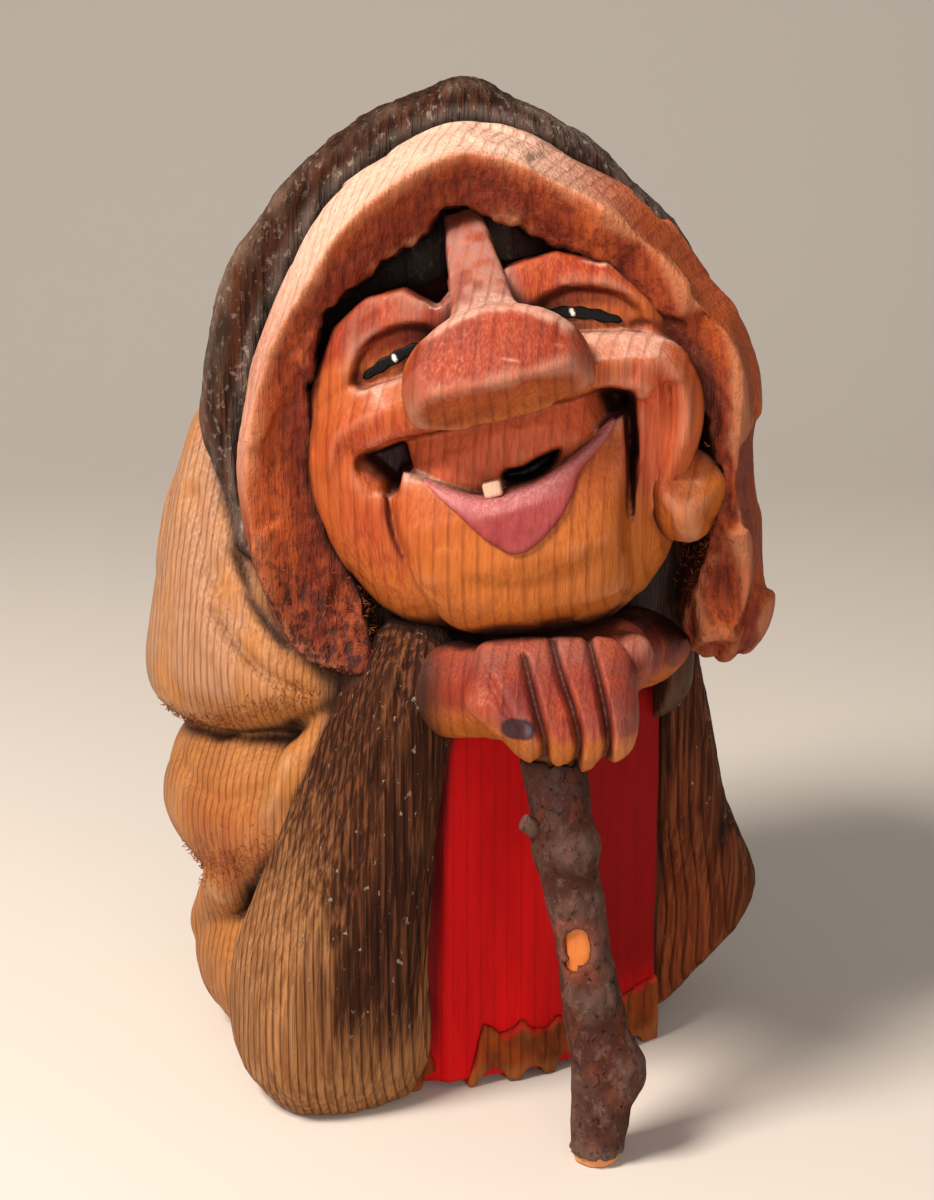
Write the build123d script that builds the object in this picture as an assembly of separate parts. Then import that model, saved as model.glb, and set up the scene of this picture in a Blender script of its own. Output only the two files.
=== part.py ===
"""A carved wooden troll woman in a kerchief and cloak, leaning on a twig walking stick.

The figure faces -Y, its own right side is at -X, and it stands on Z = 0.
Every carved member is a solid of its own. Members that meet share the face they are glued on,
because the one fitted later is cut to the shape of the one that was there first.
The twig is loose: its round top slides in a blind bore in the underside of the fist.
"""

import os
from math import cos, hypot, pi, radians, sin

from build123d import *

# Driving sizes, in millimetres, and angles in degrees.

# Trunk under the cloak, turned to the figure's left of where the face looks
trunk_x = -2.0
trunk_y = 4.0
trunk_turn = 26.0
trunk_foot_half_width = 28.0
trunk_foot_half_depth = 30.0
trunk_belly_half_width = 31.0
trunk_belly_half_depth = 32.0
trunk_belly_height = 30.0
trunk_shoulder_half_width = 26.0
trunk_shoulder_half_depth = 29.0
trunk_shoulder_height = 70.0
trunk_top_half_width = 20.0
trunk_top_half_depth = 22.0
trunk_top_height = 100.0
trunk_squareness = 2.8

# Hump of the cloak over the figure's right shoulder: an upright axis across and deep, and a profile of
# radius and height from its undercut foot up to where the hood covers it
hump_axis = (-18.5, 6.5)
hump_profile = (
    (24.0, 48.0),
    (30.0, 51.8),
    (32.6, 56.5),
    (33.0, 62.0),
    (32.0, 70.0),
    (30.0, 81.0),
    (27.3, 90.6),
    (23.0, 100.0),
    (14.0, 107.0),
)
hump_slope_place = (0.0, -12.0, 84.0)
hump_slope = 32.0

# Rolls of the cloak below the hump: centre and three radii
middle_roll_centre = (-19.0, 3.0, 39.0)
middle_roll_radii = (30.0, 31.0, 20.0)
low_roll_centre = (-17.0, 0.0, 12.5)
low_roll_radii = (27.4, 28.5, 19.0)

# Left shoulder behind the kerchief's hanging end
shoulder_low = (27.0, -9.0, 62.0)
shoulder_high = (27.0, -9.0, 88.0)
shoulder_radius = 9.0

# Slanting fold from the right sleeve's top down round the side
cloak_fold_radius = 5.0
cloak_fold_route = (
    (-15.5, -19.5, 62.0),
    (-24.0, -22.0, 49.0),
    (-30.0, -20.0, 39.5),
    (-36.0, -12.5, 28.0),
    (-39.3, -3.0, 17.0),
    (-38.0, 9.0, 12.0),
    (-30.0, 20.0, 10.0),
)

# Apron and hem on the front of the trunk
apron_half_width = 21.0
apron_front = 30.5
apron_depth = 9.0
apron_top = 64.0
fold_count = 5
fold_bulge = 1.6
hem_height = 7.0
hem_overhang = 1.6
hem_notch_radius = 1.7

# Hanging sleeves, as sections up from the floor: height, place across the front, place forward of the
# trunk's centre, half width, half depth
right_sleeve_sections = (
    (0.0, -30.0, 21.5, 11.0, 9.5),
    (7.0, -31.5, 21.5, 14.0, 13.0),
    (22.0, -31.0, 21.5, 13.5, 14.5),
    (42.0, -27.0, 23.5, 9.5, 13.5),
    (60.0, -23.0, 27.0, 7.2, 10.5),
    (69.0, -21.0, 29.0, 6.0, 8.0),
    (74.0, -20.0, 29.5, 2.5, 3.5),
)
left_sleeve_sections = (
    (2.0, 24.5, 17.0, 3.0, 6.0),
    (9.0, 29.0, 15.0, 8.5, 9.5),
    (19.0, 34.0, 12.5, 14.0, 11.5),
    (36.0, 30.5, 14.5, 9.5, 11.5),
    (54.0, 28.0, 17.0, 6.5, 9.5),
    (66.0, 26.0, 20.0, 4.6, 6.5),
)
sleeve_squareness = 2.3

# Arms and hands
forearm_radius = 6.4
right_elbow = (-7.0, -31.5, 63.5)
right_wrist = (4.5, -41.0, 66.0)
left_elbow = (28.0, -12.0, 66.0)
left_wrist = (17.0, -33.0, 68.5)
palm_centre = (11.0, -42.5, 68.0)
palm_radii = (12.0, 8.5, 8.0)
finger_count = 4
finger_radius = 3.2
first_knuckle = (2.0, -46.0, 72.5)
first_fingertip = (5.6, -48.5, 62.5)
knuckle_pitch = 5.6
fingertip_pitch = 4.9
fingertip_drop = 1.0
left_palm_radius = 6.2
left_palm_heel = (20.5, -34.5, 69.4)
left_palm_end = (13.0, -37.0, 68.6)
thumb_radius = 2.9
thumb_root = (18.5, -37.5, 71.0)
thumb_tip = (23.6, -40.0, 71.8)

# Head: the face looks slightly up and leans to the figure's right
face_centre = (5.8, -30.0, 103.5)
face_roll = 14.0
face_pitch = 8.0
skull_centre = (0.0, 2.0, -14.0)
skull_radii = (26.5, 29.0, 24.0)
cheek_centre = (15.0, 4.8, 1.0)
cheek_radii = (13.0, 6.6, 10.0)
cheek_droop = 18.0
jowl_centre = (18.5, -6.5, -3.0)
jowl_radii = (9.4, 13.5, 8.5)
jaw_centre = (-3.2, -13.8, -3.0)
jaw_radii = (20.0, 14.8, 18.0)
brow_centre = (13.8, 19.8, -4.0)
brow_radii = (12.8, 6.4, 11.0)
brow_droop = 10.0
brow_top = 21.4
brow_hollow_depth = -10.0
mouth_centre = (-1.5, -2.2, 13.0)
mouth_radii = (18.5, 5.2, 10.0)

# Nose, lip, tooth, eyes and ear, in the face's own frame: across, up, forward
nose_centre = (0.2, 5.6, 12.4)
nose_radii = (13.4, 10.4, 11.4)
nose_edge = (0.0, 5.4, 21.7)
nose_front_slope = 27.0
nose_under_slope = -48.0
nose_bottom = 0.4
bridge_width = 7.6
bridge_profile = ((8.0, -8.0), (8.0, 12.0), (15.0, 12.6), (29.0, 1.4), (29.0, -12.0))
lip_half_width = 13.0
lip_drop = 10.0
lip_top = -6.3
lip_place = -2.5
lip_thickness = 1.6
tooth_width = 2.3
tooth_height = 3.6
tooth_depth = 2.6
tooth_place = (-4.2, -6.0, 12.6)
eye_half_width = 5.0
eye_half_height = 1.4
eye_thickness = 4.5
right_eye_back = (-11.4, 12.6, 2.0)
left_eye_back = (13.3, 12.4, 1.6)
ear_centre = (25.0, -15.4, -2.0)
ear_radii = (5.6, 6.0, 8.0)

# Kerchief: an arch over the face, open below, whose ends hang beside the chin. Its outline and its
# opening are points across and up, from the right shoulder over the crown to the left shoulder.
kerchief_front = -33.0
kerchief_back = -15.0
kerchief_rounding = 3.5
kerchief_middle = (5.0, 100.0)
kerchief_outline = (
    (-18.0, 65.0),
    (-28.0, 71.5),
    (-31.8, 81.0),
    (-33.5, 98.0),
    (-29.5, 115.0),
    (-20.0, 133.0),
    (-5.0, 143.5),
    (6.0, 143.5),
    (21.0, 136.0),
    (33.0, 126.0),
    (41.5, 112.0),
    (43.0, 96.0),
    (42.5, 76.0),
    (36.0, 66.0),
)
kerchief_opening = (
    (-8.0, 58.0),
    (-17.5, 78.0),
    (-22.3, 94.5),
    (-21.0, 115.3),
    (-12.6, 124.4),
    (-1.2, 133.4),
    (10.2, 129.2),
    (20.6, 122.4),
    (29.6, 111.0),
    (35.4, 97.0),
    (33.4, 78.0),
    (30.0, 58.0),
)
opening_taper = 4.0
drape_knot_centre = (38.2, -21.0, 75.5)
drape_knot_radii = (7.4, 10.0, 9.5)

# Back of the hood, with the log's bark left on: its outline behind the kerchief, across and up, and
# how far back and how much smaller each further section is
hood_outline = (
    (-30.0, 76.0),
    (-38.0, 90.0),
    (-39.8, 103.0),
    (-37.5, 117.0),
    (-30.0, 131.5),
    (-18.0, 143.5),
    (-4.0, 150.0),
    (8.0, 148.0),
    (20.0, 139.0),
    (31.0, 127.5),
    (37.5, 114.0),
    (39.0, 98.0),
    (37.0, 76.0),
)
hood_middle = (0.0, 100.0)
hood_sections = ((0.0, 1.0), (24.0, 0.98), (40.0, 0.84), (49.0, 0.6))
furrow_pitch = 11.0
furrow_width = 2.6
furrow_depth = 1.5
back_furrow_count = 6
back_furrow_start = 4.0
side_furrow_count = 3
side_furrow_start = -7.0
side_furrow_top = 126.0

# Twig walking stick
stick_radius = 4.6
stick_bark_thickness = 0.9
stick_route = (
    (18.9, -52.6, -8.0),
    (20.2, -51.2, 11.5),
    (17.6, -49.6, 28.0),
    (13.9, -48.0, 45.0),
    (10.75, -45.4, 68.0),
)
stick_bend_radius = 25.0
bore_clearance = 0.08
bore_end_gap = 0.3
foot_bare_height = 1.8
chip_width = 4.6
chip_height = 8.0
chip_place = 31.0
stub_radius = 1.6
stub_root = (13.2, -48.6, 46.5)
stub_end = (7.0, -50.2, 51.0)
burl_centre = (22.4, -51.6, 13.5)
burl_radius = 4.3

section_points = 16
hidden_reach = 60.0


def ellipsoid(centre, radii):
    return Pos(*centre) * scale(Sphere(1.0), by=radii)


def capsule(start, end, radius):
    axis = Vector(*end) - Vector(*start)
    rod = Plane(origin=start, z_dir=axis) * Cylinder(
        radius, axis.length, align=(Align.CENTER, Align.CENTER, Align.MIN)
    )
    return rod + Pos(*start) * Sphere(radius) + Pos(*end) * Sphere(radius)


def rounded_outline(half_x, half_y, power):
    points = []
    for step in range(section_points):
        angle = 2 * pi * step / section_points
        c, s = cos(angle), sin(angle)
        x = half_x * abs(c) ** (2 / power) * (1 if c >= 0 else -1)
        y = half_y * abs(s) ** (2 / power) * (1 if s >= 0 else -1)
        points.append((x, y))
    return Spline(*points, periodic=True)


def trunk_frame(height):
    turn = radians(trunk_turn)
    return Plane(origin=(trunk_x, trunk_y, height), x_dir=(cos(turn), sin(turn), 0), z_dir=(0, 0, 1))


def tower(sections, power):
    """A loft up through sections given as height, across, forward, half width and half depth."""
    faces = []
    for height, across, forward, half_width, half_depth in sections:
        outline = rounded_outline(half_width, half_depth, power)
        faces.append(trunk_frame(height) * Pos(across, -forward) * make_face(outline))
    return loft(faces)


def above_floor():
    side = 2 * hidden_reach + 2 * trunk_top_height
    return Pos(0, 0, side / 2) * Box(side, side, side)


def make_trunk():
    return tower(
        (
            (0.0, 0.0, 0.0, trunk_foot_half_width, trunk_foot_half_depth),
            (trunk_belly_height, 0.0, 0.0, trunk_belly_half_width, trunk_belly_half_depth),
            (trunk_shoulder_height, 0.0, 0.0, trunk_shoulder_half_width, trunk_shoulder_half_depth),
            (trunk_top_height, 0.0, 0.0, trunk_top_half_width, trunk_top_half_depth),
        ),
        trunk_squareness,
    )


def make_hump():
    foot, crown = hump_profile[0], hump_profile[-1]
    closing = Polyline(crown, (0.0, crown[1]), (0.0, foot[1]), foot)
    profile = make_face([Spline(*hump_profile), closing])
    axis_plane = Plane(origin=(*hump_axis, 0.0), x_dir=(1, 0, 0), z_dir=(0, -1, 0))
    hump = revolve(axis_plane * profile, Axis((*hump_axis, 0.0), (0, 0, 1)))
    aim = (0.0, -cos(radians(hump_slope)), sin(radians(hump_slope)))
    return split(hump, bisect_by=Plane(origin=hump_slope_place, z_dir=aim), keep=Keep.BOTTOM)


def make_cloak_fold():
    path = Spline(*cloak_fold_route)
    profile = Plane(origin=path @ 0, z_dir=path % 0) * Circle(cloak_fold_radius)
    return sweep(profile, path=path)


def make_cloak():
    cloak = make_trunk() + make_hump()
    cloak += ellipsoid(middle_roll_centre, middle_roll_radii)
    cloak += ellipsoid(low_roll_centre, low_roll_radii)
    cloak += make_cloak_fold() + capsule(shoulder_low, shoulder_high, shoulder_radius)
    return cloak & above_floor()


def fluted_panel(front, bottom, top):
    """A panel on the trunk's front whose face is a row of shallow upright folds."""
    pitch = 2 * apron_half_width / fold_count
    back = front - apron_depth
    left = -apron_half_width
    lines = [Line((left, -back), (left, -front))]
    for fold in range(fold_count):
        start = left + fold * pitch
        middle = (start + pitch / 2, -front - fold_bulge)
        lines.append(ThreePointArc((start, -front), middle, (start + pitch, -front)))
    lines.append(Polyline((-left, -front), (-left, -back), (left, -back)))
    face = make_face(lines)
    return extrude(trunk_frame(bottom) * face, top - bottom)


def apron_pocket():
    """The flat seat cut in the trunk's front for the apron and the hem below it."""
    back = apron_front - apron_depth
    seat = Pos(0, -back - hidden_reach / 2, apron_top / 2)
    return trunk_frame(0.0) * seat * Box(2 * apron_half_width, hidden_reach, apron_top)


def make_hem():
    hem = fluted_panel(apron_front + hem_overhang, 0.0, hem_height)
    pitch = 2 * apron_half_width / fold_count
    notch = Rot(90, 0, 0) * Cylinder(hem_notch_radius, 2 * apron_depth)
    for fold in range(1, fold_count):
        across = -apron_half_width + fold * pitch
        hem -= trunk_frame(0.0) * Pos(across, -apron_front - fold_bulge) * notch
    return hem


def stick_axis():
    axis = Vector(*stick_route[-1]) - Vector(*stick_route[-2])
    return axis.normalized()


def stick_path():
    return FilletPolyline(*stick_route, radius=stick_bend_radius)


def stick_rod(radius):
    start = Vector(*stick_route[0])
    heading = Vector(*stick_route[1]) - start
    profile = Plane(origin=start, z_dir=heading) * Circle(radius)
    return sweep(profile, path=stick_path())


def make_stick_wood():
    return stick_rod(stick_radius - stick_bark_thickness) & above_floor()


def make_stick_bark():
    bark = stick_rod(stick_radius) + Pos(*burl_centre) * Sphere(burl_radius)
    bark -= stick_rod(stick_radius - stick_bark_thickness)
    floor_cut = Pos(0, 0, foot_bare_height) * above_floor()
    bark &= floor_cut
    chip_x, chip_y = stick_route[2][0], stick_route[2][1] - stick_radius
    chip = Pos(chip_x, chip_y, chip_place) * Box(chip_width, stick_radius, chip_height)
    return bark - chip


def make_stub():
    return capsule(stub_root, stub_end, stub_radius) - stick_rod(stick_radius)


def stick_bore():
    end = Vector(*stick_route[-1]) + stick_axis() * bore_end_gap
    start = Vector(*stick_route[-2])
    length = (end - start).length
    return Plane(origin=tuple(start), z_dir=stick_axis()) * Cylinder(
        stick_radius + bore_clearance, length, align=(Align.CENTER, Align.CENTER, Align.MIN)
    )


def fist_forms():
    """The palm and the curled fingers that make up the fist."""
    forms = [ellipsoid(palm_centre, palm_radii)]
    for finger in range(finger_count):
        knuckle = (first_knuckle[0] + finger * knuckle_pitch, *first_knuckle[1:])
        drop = min(finger, 2) * 2 * fingertip_drop
        tip_x = first_fingertip[0] + finger * fingertip_pitch
        tip = (tip_x, first_fingertip[1], first_fingertip[2] - drop)
        forms.append(capsule(knuckle, tip, finger_radius))
    return forms


def make_right_hand():
    hand, *fingers = fist_forms()
    for finger in fingers:
        hand += finger
    return hand


def make_left_hand():
    palm = capsule(left_palm_heel, left_palm_end, left_palm_radius)
    return palm + capsule(thumb_root, thumb_tip, thumb_radius)


def face_frame():
    """Across, up and forward of the face: it leans by the roll and looks up by the pitch."""
    roll, pitch = radians(face_roll), radians(face_pitch)
    across = (cos(roll), 0.0, sin(roll))
    forward = (-sin(roll) * sin(pitch), -cos(pitch), cos(roll) * sin(pitch))
    return Plane(origin=face_centre, x_dir=across, z_dir=forward)


def make_eyes():
    """Two painted almond slugs let into the face."""
    slug = extrude(Ellipse(eye_half_width, eye_half_height), eye_thickness)
    return [face_frame() * Pos(*back) * slug for back in (right_eye_back, left_eye_back)]


def mirrored(place, side):
    return (side * place[0], place[1], place[2])


def drooping(centre, radii, turn):
    return Pos(*centre) * Rot(0, 0, turn) * scale(Sphere(1.0), by=radii)


def make_head():
    head = ellipsoid(skull_centre, skull_radii) + ellipsoid(jaw_centre, jaw_radii)
    for side in (-1, 1):
        head += drooping(mirrored(brow_centre, side), brow_radii, -side * brow_droop)
        head += drooping(mirrored(cheek_centre, side), cheek_radii, -side * cheek_droop)
        head += ellipsoid(mirrored(jowl_centre, side), jowl_radii)
    head -= ellipsoid(mouth_centre, mouth_radii)
    hollow_middle = (brow_top + hidden_reach / 2, brow_hollow_depth + hidden_reach / 2)
    head -= Pos(0, *hollow_middle) * Box(2 * hidden_reach, hidden_reach, hidden_reach)
    return face_frame() * head


def sliced(shape, place, slope):
    """What is left behind a knife cut across the face, tilted back by its slope from facing forward."""
    aim = (0.0, sin(radians(slope)), cos(radians(slope)))
    return split(shape, bisect_by=Plane(origin=place, z_dir=aim), keep=Keep.BOTTOM)


def make_nose():
    """A broad bulb with one cut above its edge and one below, and a flat bridge up to the brow."""
    bulb = ellipsoid(nose_centre, nose_radii)
    bulb = sliced(bulb, nose_edge, nose_front_slope)
    bulb = sliced(bulb, nose_edge, nose_under_slope)
    bulb = sliced(bulb, (0.0, nose_bottom, 0.0), -90.0)
    side = Plane(origin=(-bridge_width / 2, 0, 0), x_dir=(0, 1, 0), z_dir=(1, 0, 0))
    bridge = extrude(side * make_face(Polyline(*bridge_profile, close=True)), bridge_width)
    return face_frame() * (bulb + bridge)


def make_lip():
    """The painted lower lip: a pointed apron of wood on the front of the jaw."""
    left, right = lip_place - lip_half_width, lip_place + lip_half_width
    point = (lip_place, lip_top - lip_drop)
    outline = Polyline((left, lip_top + lip_drop / 3), point, (right, lip_top + lip_drop / 3))
    upper = ThreePointArc(
        (right, lip_top + lip_drop / 3), (lip_place, lip_top), (left, lip_top + lip_drop / 3)
    )
    block = extrude(make_face([outline, upper]), hidden_reach)
    grown = tuple(radius + lip_thickness for radius in jaw_radii)
    return face_frame() * (block & ellipsoid(jaw_centre, grown))


def make_tooth():
    return face_frame() * Pos(*tooth_place) * Box(tooth_width, tooth_height, tooth_depth)


def make_ear():
    return face_frame() * ellipsoid(ear_centre, ear_radii)


def arch_face(outline, middle, y, grow=0.0, size=1.0):
    """An arch through points across and up, at depth y, closed by a straight line below."""
    points = []
    for x, z in outline:
        across, up = size * (x - middle[0]), size * (z - middle[1])
        reach = 1 + grow / hypot(across, up)
        points.append((middle[0] + reach * across, middle[1] + reach * up))
    plane = Plane(origin=(0, y, 0), x_dir=(1, 0, 0), z_dir=(0, -1, 0))
    return plane * make_face([Spline(*points), Line(points[-1], points[0])])


def make_kerchief():
    middle = (kerchief_front + kerchief_back) / 2
    outer = loft(
        [
            arch_face(kerchief_outline, kerchief_middle, kerchief_front, -kerchief_rounding),
            arch_face(kerchief_outline, kerchief_middle, middle),
            arch_face(kerchief_outline, kerchief_middle, kerchief_back, -kerchief_rounding),
        ]
    )
    beyond = kerchief_back - kerchief_front
    opening = loft(
        [
            arch_face(kerchief_opening, kerchief_middle, kerchief_front - beyond, opening_taper),
            arch_face(kerchief_opening, kerchief_middle, kerchief_back + beyond, -2 * opening_taper),
        ]
    )
    return outer - opening + ellipsoid(drape_knot_centre, drape_knot_radii)


def hood_dome(inset):
    sections = []
    for behind, size in hood_sections:
        depth = kerchief_back + behind - (inset if behind > 0 else 0.0)
        sections.append(arch_face(hood_outline, hood_middle, depth, -inset, size))
    return loft(sections)


def make_hood_back():
    """The domed back with the bark's main furrows, upright on its back and on its two sides."""
    dome, floor_of_furrows = hood_dome(0.0), hood_dome(furrow_depth)
    for row in range(back_furrow_count):
        across = (row - (back_furrow_count - 1) / 2) * furrow_pitch
        slab = Box(furrow_width, hidden_reach, 4 * hidden_reach)
        place = Pos(across, back_furrow_start + hidden_reach / 2, hood_middle[1])
        dome -= place * slab - floor_of_furrows
    for row in range(side_furrow_count):
        slab = Box(4 * hidden_reach, furrow_width, hidden_reach)
        place = Pos(0, side_furrow_start + row * furrow_pitch, side_furrow_top - hidden_reach / 2)
        dome -= place * slab - floor_of_furrows
    return largest(dome)


def largest(shape):
    return max(shape.solids(), key=lambda solid: solid.volume)


def cut(shape, *others):
    """Fit a member against the ones already in place."""
    for other in others:
        shape = shape - other
    return largest(shape)


def main():
    os.makedirs("parts", exist_ok=True)
    bore = stick_bore()
    eyes = make_eyes()
    head = cut(make_head(), *eyes)
    nose = cut(make_nose(), head, *eyes)
    lip = cut(make_lip(), head)
    tooth = cut(make_tooth(), head, lip)
    ear = cut(make_ear(), head)
    right_hand = cut(make_right_hand(), head, bore)
    left_hand = cut(make_left_hand(), *fist_forms(), head, bore)
    hands = (right_hand, left_hand)
    right_forearm = cut(capsule(right_elbow, right_wrist, forearm_radius), *hands, head, bore)
    left_forearm = cut(capsule(left_elbow, left_wrist, forearm_radius), *hands, right_forearm, head, bore)
    arms = (*hands, right_forearm, left_forearm)
    kerchief = cut(make_kerchief(), head, nose, ear, *arms)
    hood_back = cut(make_hood_back(), head, ear, kerchief)
    coverings = (head, kerchief, *arms)
    right_sleeve = cut(tower(right_sleeve_sections, sleeve_squareness), *coverings)
    left_sleeve = cut(tower(left_sleeve_sections, sleeve_squareness), *coverings)
    apron = cut(fluted_panel(apron_front, hem_height, apron_top), right_sleeve, left_sleeve, *coverings)
    hem = cut(make_hem(), right_sleeve, left_sleeve)
    cloak = cut(make_cloak(), apron_pocket(), hood_back, right_sleeve, left_sleeve, *coverings)
    parts = {
        "cloak": cloak,
        "apron": apron,
        "skirt_hem": hem,
        "right_sleeve": right_sleeve,
        "left_sleeve": left_sleeve,
        "right_forearm": right_forearm,
        "left_forearm": left_forearm,
        "right_hand": right_hand,
        "left_hand": left_hand,
        "head": head,
        "nose": nose,
        "lower_lip": lip,
        "tooth": tooth,
        "left_ear": ear,
        "eyes": Compound(children=eyes),
        "kerchief": kerchief,
        "hood_back": hood_back,
        "stick_wood": make_stick_wood(),
        "stick_bark": make_stick_bark(),
        "twig_stub": make_stub(),
    }
    for name, shape in parts.items():
        export_step(shape, f"parts/{name}.step")
        print(name, round(shape.volume))


main()
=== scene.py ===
import functools
import math
import bpy
import numpy as np
import openvdb
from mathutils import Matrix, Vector


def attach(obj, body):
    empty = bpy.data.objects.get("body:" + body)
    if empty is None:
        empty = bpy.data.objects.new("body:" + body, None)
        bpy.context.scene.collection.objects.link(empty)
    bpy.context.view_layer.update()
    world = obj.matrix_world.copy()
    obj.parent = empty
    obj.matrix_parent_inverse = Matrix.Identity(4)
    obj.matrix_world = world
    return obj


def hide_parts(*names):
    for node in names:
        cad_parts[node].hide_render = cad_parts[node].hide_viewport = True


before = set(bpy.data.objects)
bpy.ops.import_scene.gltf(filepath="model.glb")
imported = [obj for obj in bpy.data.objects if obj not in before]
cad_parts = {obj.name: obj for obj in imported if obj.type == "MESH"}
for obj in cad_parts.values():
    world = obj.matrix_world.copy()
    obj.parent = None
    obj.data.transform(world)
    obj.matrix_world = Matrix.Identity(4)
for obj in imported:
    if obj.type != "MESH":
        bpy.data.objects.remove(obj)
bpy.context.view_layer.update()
scene = bpy.context.scene
mm = 0.001
print("frame:", len(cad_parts), "solids")


# Shapes are fields in millimetres, negative inside the wood.
def smoothMin(a, b, k):
    h = np.clip(0.5 + 0.5 * (b - a) / k, 0, 1)
    return b + (a - b) * h - k * h * (1 - h)


def smoothMax(a, b, k):
    return -smoothMin(-a, -b, k)


def meet(*shapes):  # what all the shapes share
    return functools.reduce(np.maximum, shapes)


def ramp(low, high, value):
    t = np.clip((value - low) / (high - low), 0, 1)
    return t * t * (3 - 2 * t)


def egg(x, y, z, centre, radii):
    p = [(c - m) / r for c, m, r in zip((x, y, z), centre, radii)]
    k0 = np.sqrt(p[0] ** 2 + p[1] ** 2 + p[2] ** 2) + 1e-6
    k1 = np.sqrt((p[0] / radii[0]) ** 2 + (p[1] / radii[1]) ** 2 + (p[2] / radii[2]) ** 2) + 1e-6
    return k0 * (k0 - 1) / k1


def tilted(x, y, z, centre, aim):  # distance in front of a plane through the centre
    return sum((c - m) * a for c, m, a in zip((x, y, z), centre, aim))


def rod(x, y, z, a, b, ra, rb):
    d = [q - p for p, q in zip(a, b)]
    px, py, pz = x - a[0], y - a[1], z - a[2]
    t = np.clip((px * d[0] + py * d[1] + pz * d[2]) / sum(c * c for c in d), 0, 1)
    gap = np.sqrt((px - t * d[0]) ** 2 + (py - t * d[1]) ** 2 + (pz - t * d[2]) ** 2)
    return gap - (ra + (rb - ra) * t)


def flow(points, closed=False, cuts=6):  # a smooth line through the points
    p = np.array(points, float)
    n = len(p)
    at = (lambda i: p[i % n]) if closed else (lambda i: p[min(max(i, 0), n - 1)])
    made = []
    for i in range(n if closed else n - 1):
        a, b, c, d = at(i - 1), at(i), at(i + 1), at(i + 2)
        for t in np.arange(cuts) / cuts:
            bend = (c - a) * t + (2 * a - 5 * b + 4 * c - d) * t * t + (3 * b - a - 3 * c + d) * t ** 3
            made.append(b + 0.5 * bend)
    return np.array(made if closed else made + [p[-1]])


farOff = 1e9


def toSegment(a, b, u, v):  # how far along from a to b, and the square of the gap
    e = b - a
    t = np.clip(((u - a[0]) * e[0] + (v - a[1]) * e[1]) / (e @ e + 1e-12), 0, 1)
    return t, (u - a[0] - t * e[0]) ** 2 + (v - a[1] - t * e[1]) ** 2


def outline(points, u, v):  # distance to a closed outline, negative inside
    p = flow(points, True)
    near = np.full(np.broadcast(u, v).shape, farOff)
    inside = np.zeros(near.shape, bool)
    for a, b in zip(p, np.roll(p, -1, 0)):
        near = np.minimum(near, toSegment(a, b, u, v)[1])
        if a[1] != b[1]:
            e = b - a
            inside ^= ((a[1] > v) != (b[1] > v)) & (u < e[0] * (v - a[1]) / e[1] + a[0])
    near = np.sqrt(near)
    return np.where(inside, -near, near)


def along(points, u, v):  # distance to an open line, how far along it, and which side (left is 1)
    p = flow(points)
    near = np.full(np.broadcast(u, v).shape, farOff)
    place, side = np.zeros(near.shape), np.zeros(near.shape)
    for i, (a, b) in enumerate(zip(p[:-1], p[1:])):
        t, d = toSegment(a, b, u, v)
        e = b - a
        closer = d < near
        place = np.where(closer, (i + t) / (len(p) - 1), place)
        side = np.where(closer, np.sign(e[0] * (v - a[1]) - e[1] * (u - a[0])), side)
        near = np.minimum(near, d)
    return np.sqrt(near), place, side


def rounded(depth, radius):  # how far a face falls back near its outline
    t = np.clip(1 + depth / radius, 0, 1)
    return radius * (1 - np.sqrt(1 - t * t))


def steps(table, value, column):  # smooth reading of a table of sections
    line = flow(table)
    return np.interp(value, line[:, 0], line[:, column])


def spot(u, v, centre, reach):  # a soft patch, 1 in its middle
    return np.exp(-((u - centre[0]) / reach[0]) ** 2 - ((v - centre[1]) / reach[1]) ** 2)


def hashed(i, j, k, seed):  # a fixed number from 0 to 1 for each cell
    h = i * np.uint32(73856093) ^ j * np.uint32(19349663) ^ k * np.uint32(83492791)
    h = h ^ np.uint32(seed * 2654435 + 97)
    h = (h ^ (h >> np.uint32(13))) * np.uint32(1274126177)
    return ((h ^ (h >> np.uint32(16))) & np.uint32(65535)).astype(np.float32) / 65535


def toCells(p, cell):  # shifted, so that cell numbers stay positive
    return np.asarray(p, float) / np.array(cell, float) + 512


def cornerMix(q, read, soften=False):  # mixes what is read at the eight cell corners round each point
    base = np.floor(q)
    f = q - base
    f = f * f * (3 - 2 * f) if soften else f
    total = 0
    for corner in np.ndindex(2, 2, 2):
        i, j, k = (base + corner).astype(np.uint32).T
        total = total + np.prod(np.where(corner, f, 1 - f), 1) * read(i, j, k)
    return total


def lumps(p, cell, seed):  # soft noise, -1 to 1
    return cornerMix(toCells(p, cell), lambda i, j, k: hashed(i, j, k, seed), True) * 2 - 1


def knifeCuts(p, cell, seed, sharp=9.0):  # flat cuts that meet in soft ridges, about -1 to 1
    q = toCells(p, cell)
    base = np.floor(q)
    total, weight = 0, 1e-9
    for near in np.ndindex(3, 3, 3):
        seatCell = base + near - 1
        i, j, k = seatCell.astype(np.uint32).T
        seat = np.stack([hashed(i, j, k, seed + m) for m in range(3)], 1)
        tilt = np.stack([hashed(i, j, k, seed + m) for m in (3, 4, 5)], 1) * 2 - 1
        off = q - seatCell - seat
        w = np.exp(-sharp * (off ** 2).sum(1))
        total = total + w * (off * tilt).sum(1)
        weight = weight + w
    return total / weight


lattice = {"low": (-62, -66, -4), "size": (124, 120, 162)}
wood = np.zeros(lattice["size"], bool)  # what is solid, at 1 mm, to find hollows and edges


def withoutCrumbs(points, quads, least=60):  # drops loose bits of fewer points than the least
    label = np.arange(len(points))
    spread = True
    while spread:
        lowest = label.copy()
        np.minimum.at(lowest, quads.ravel(), np.repeat(label[quads].min(1), 4))
        lowest = lowest[lowest]
        spread = (lowest != label).any()
        label = lowest
    kept = np.bincount(label, minlength=len(points))[label] >= least
    return points[kept], (np.cumsum(kept) - 1)[quads[kept[quads[:, 0]]]]


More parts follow.
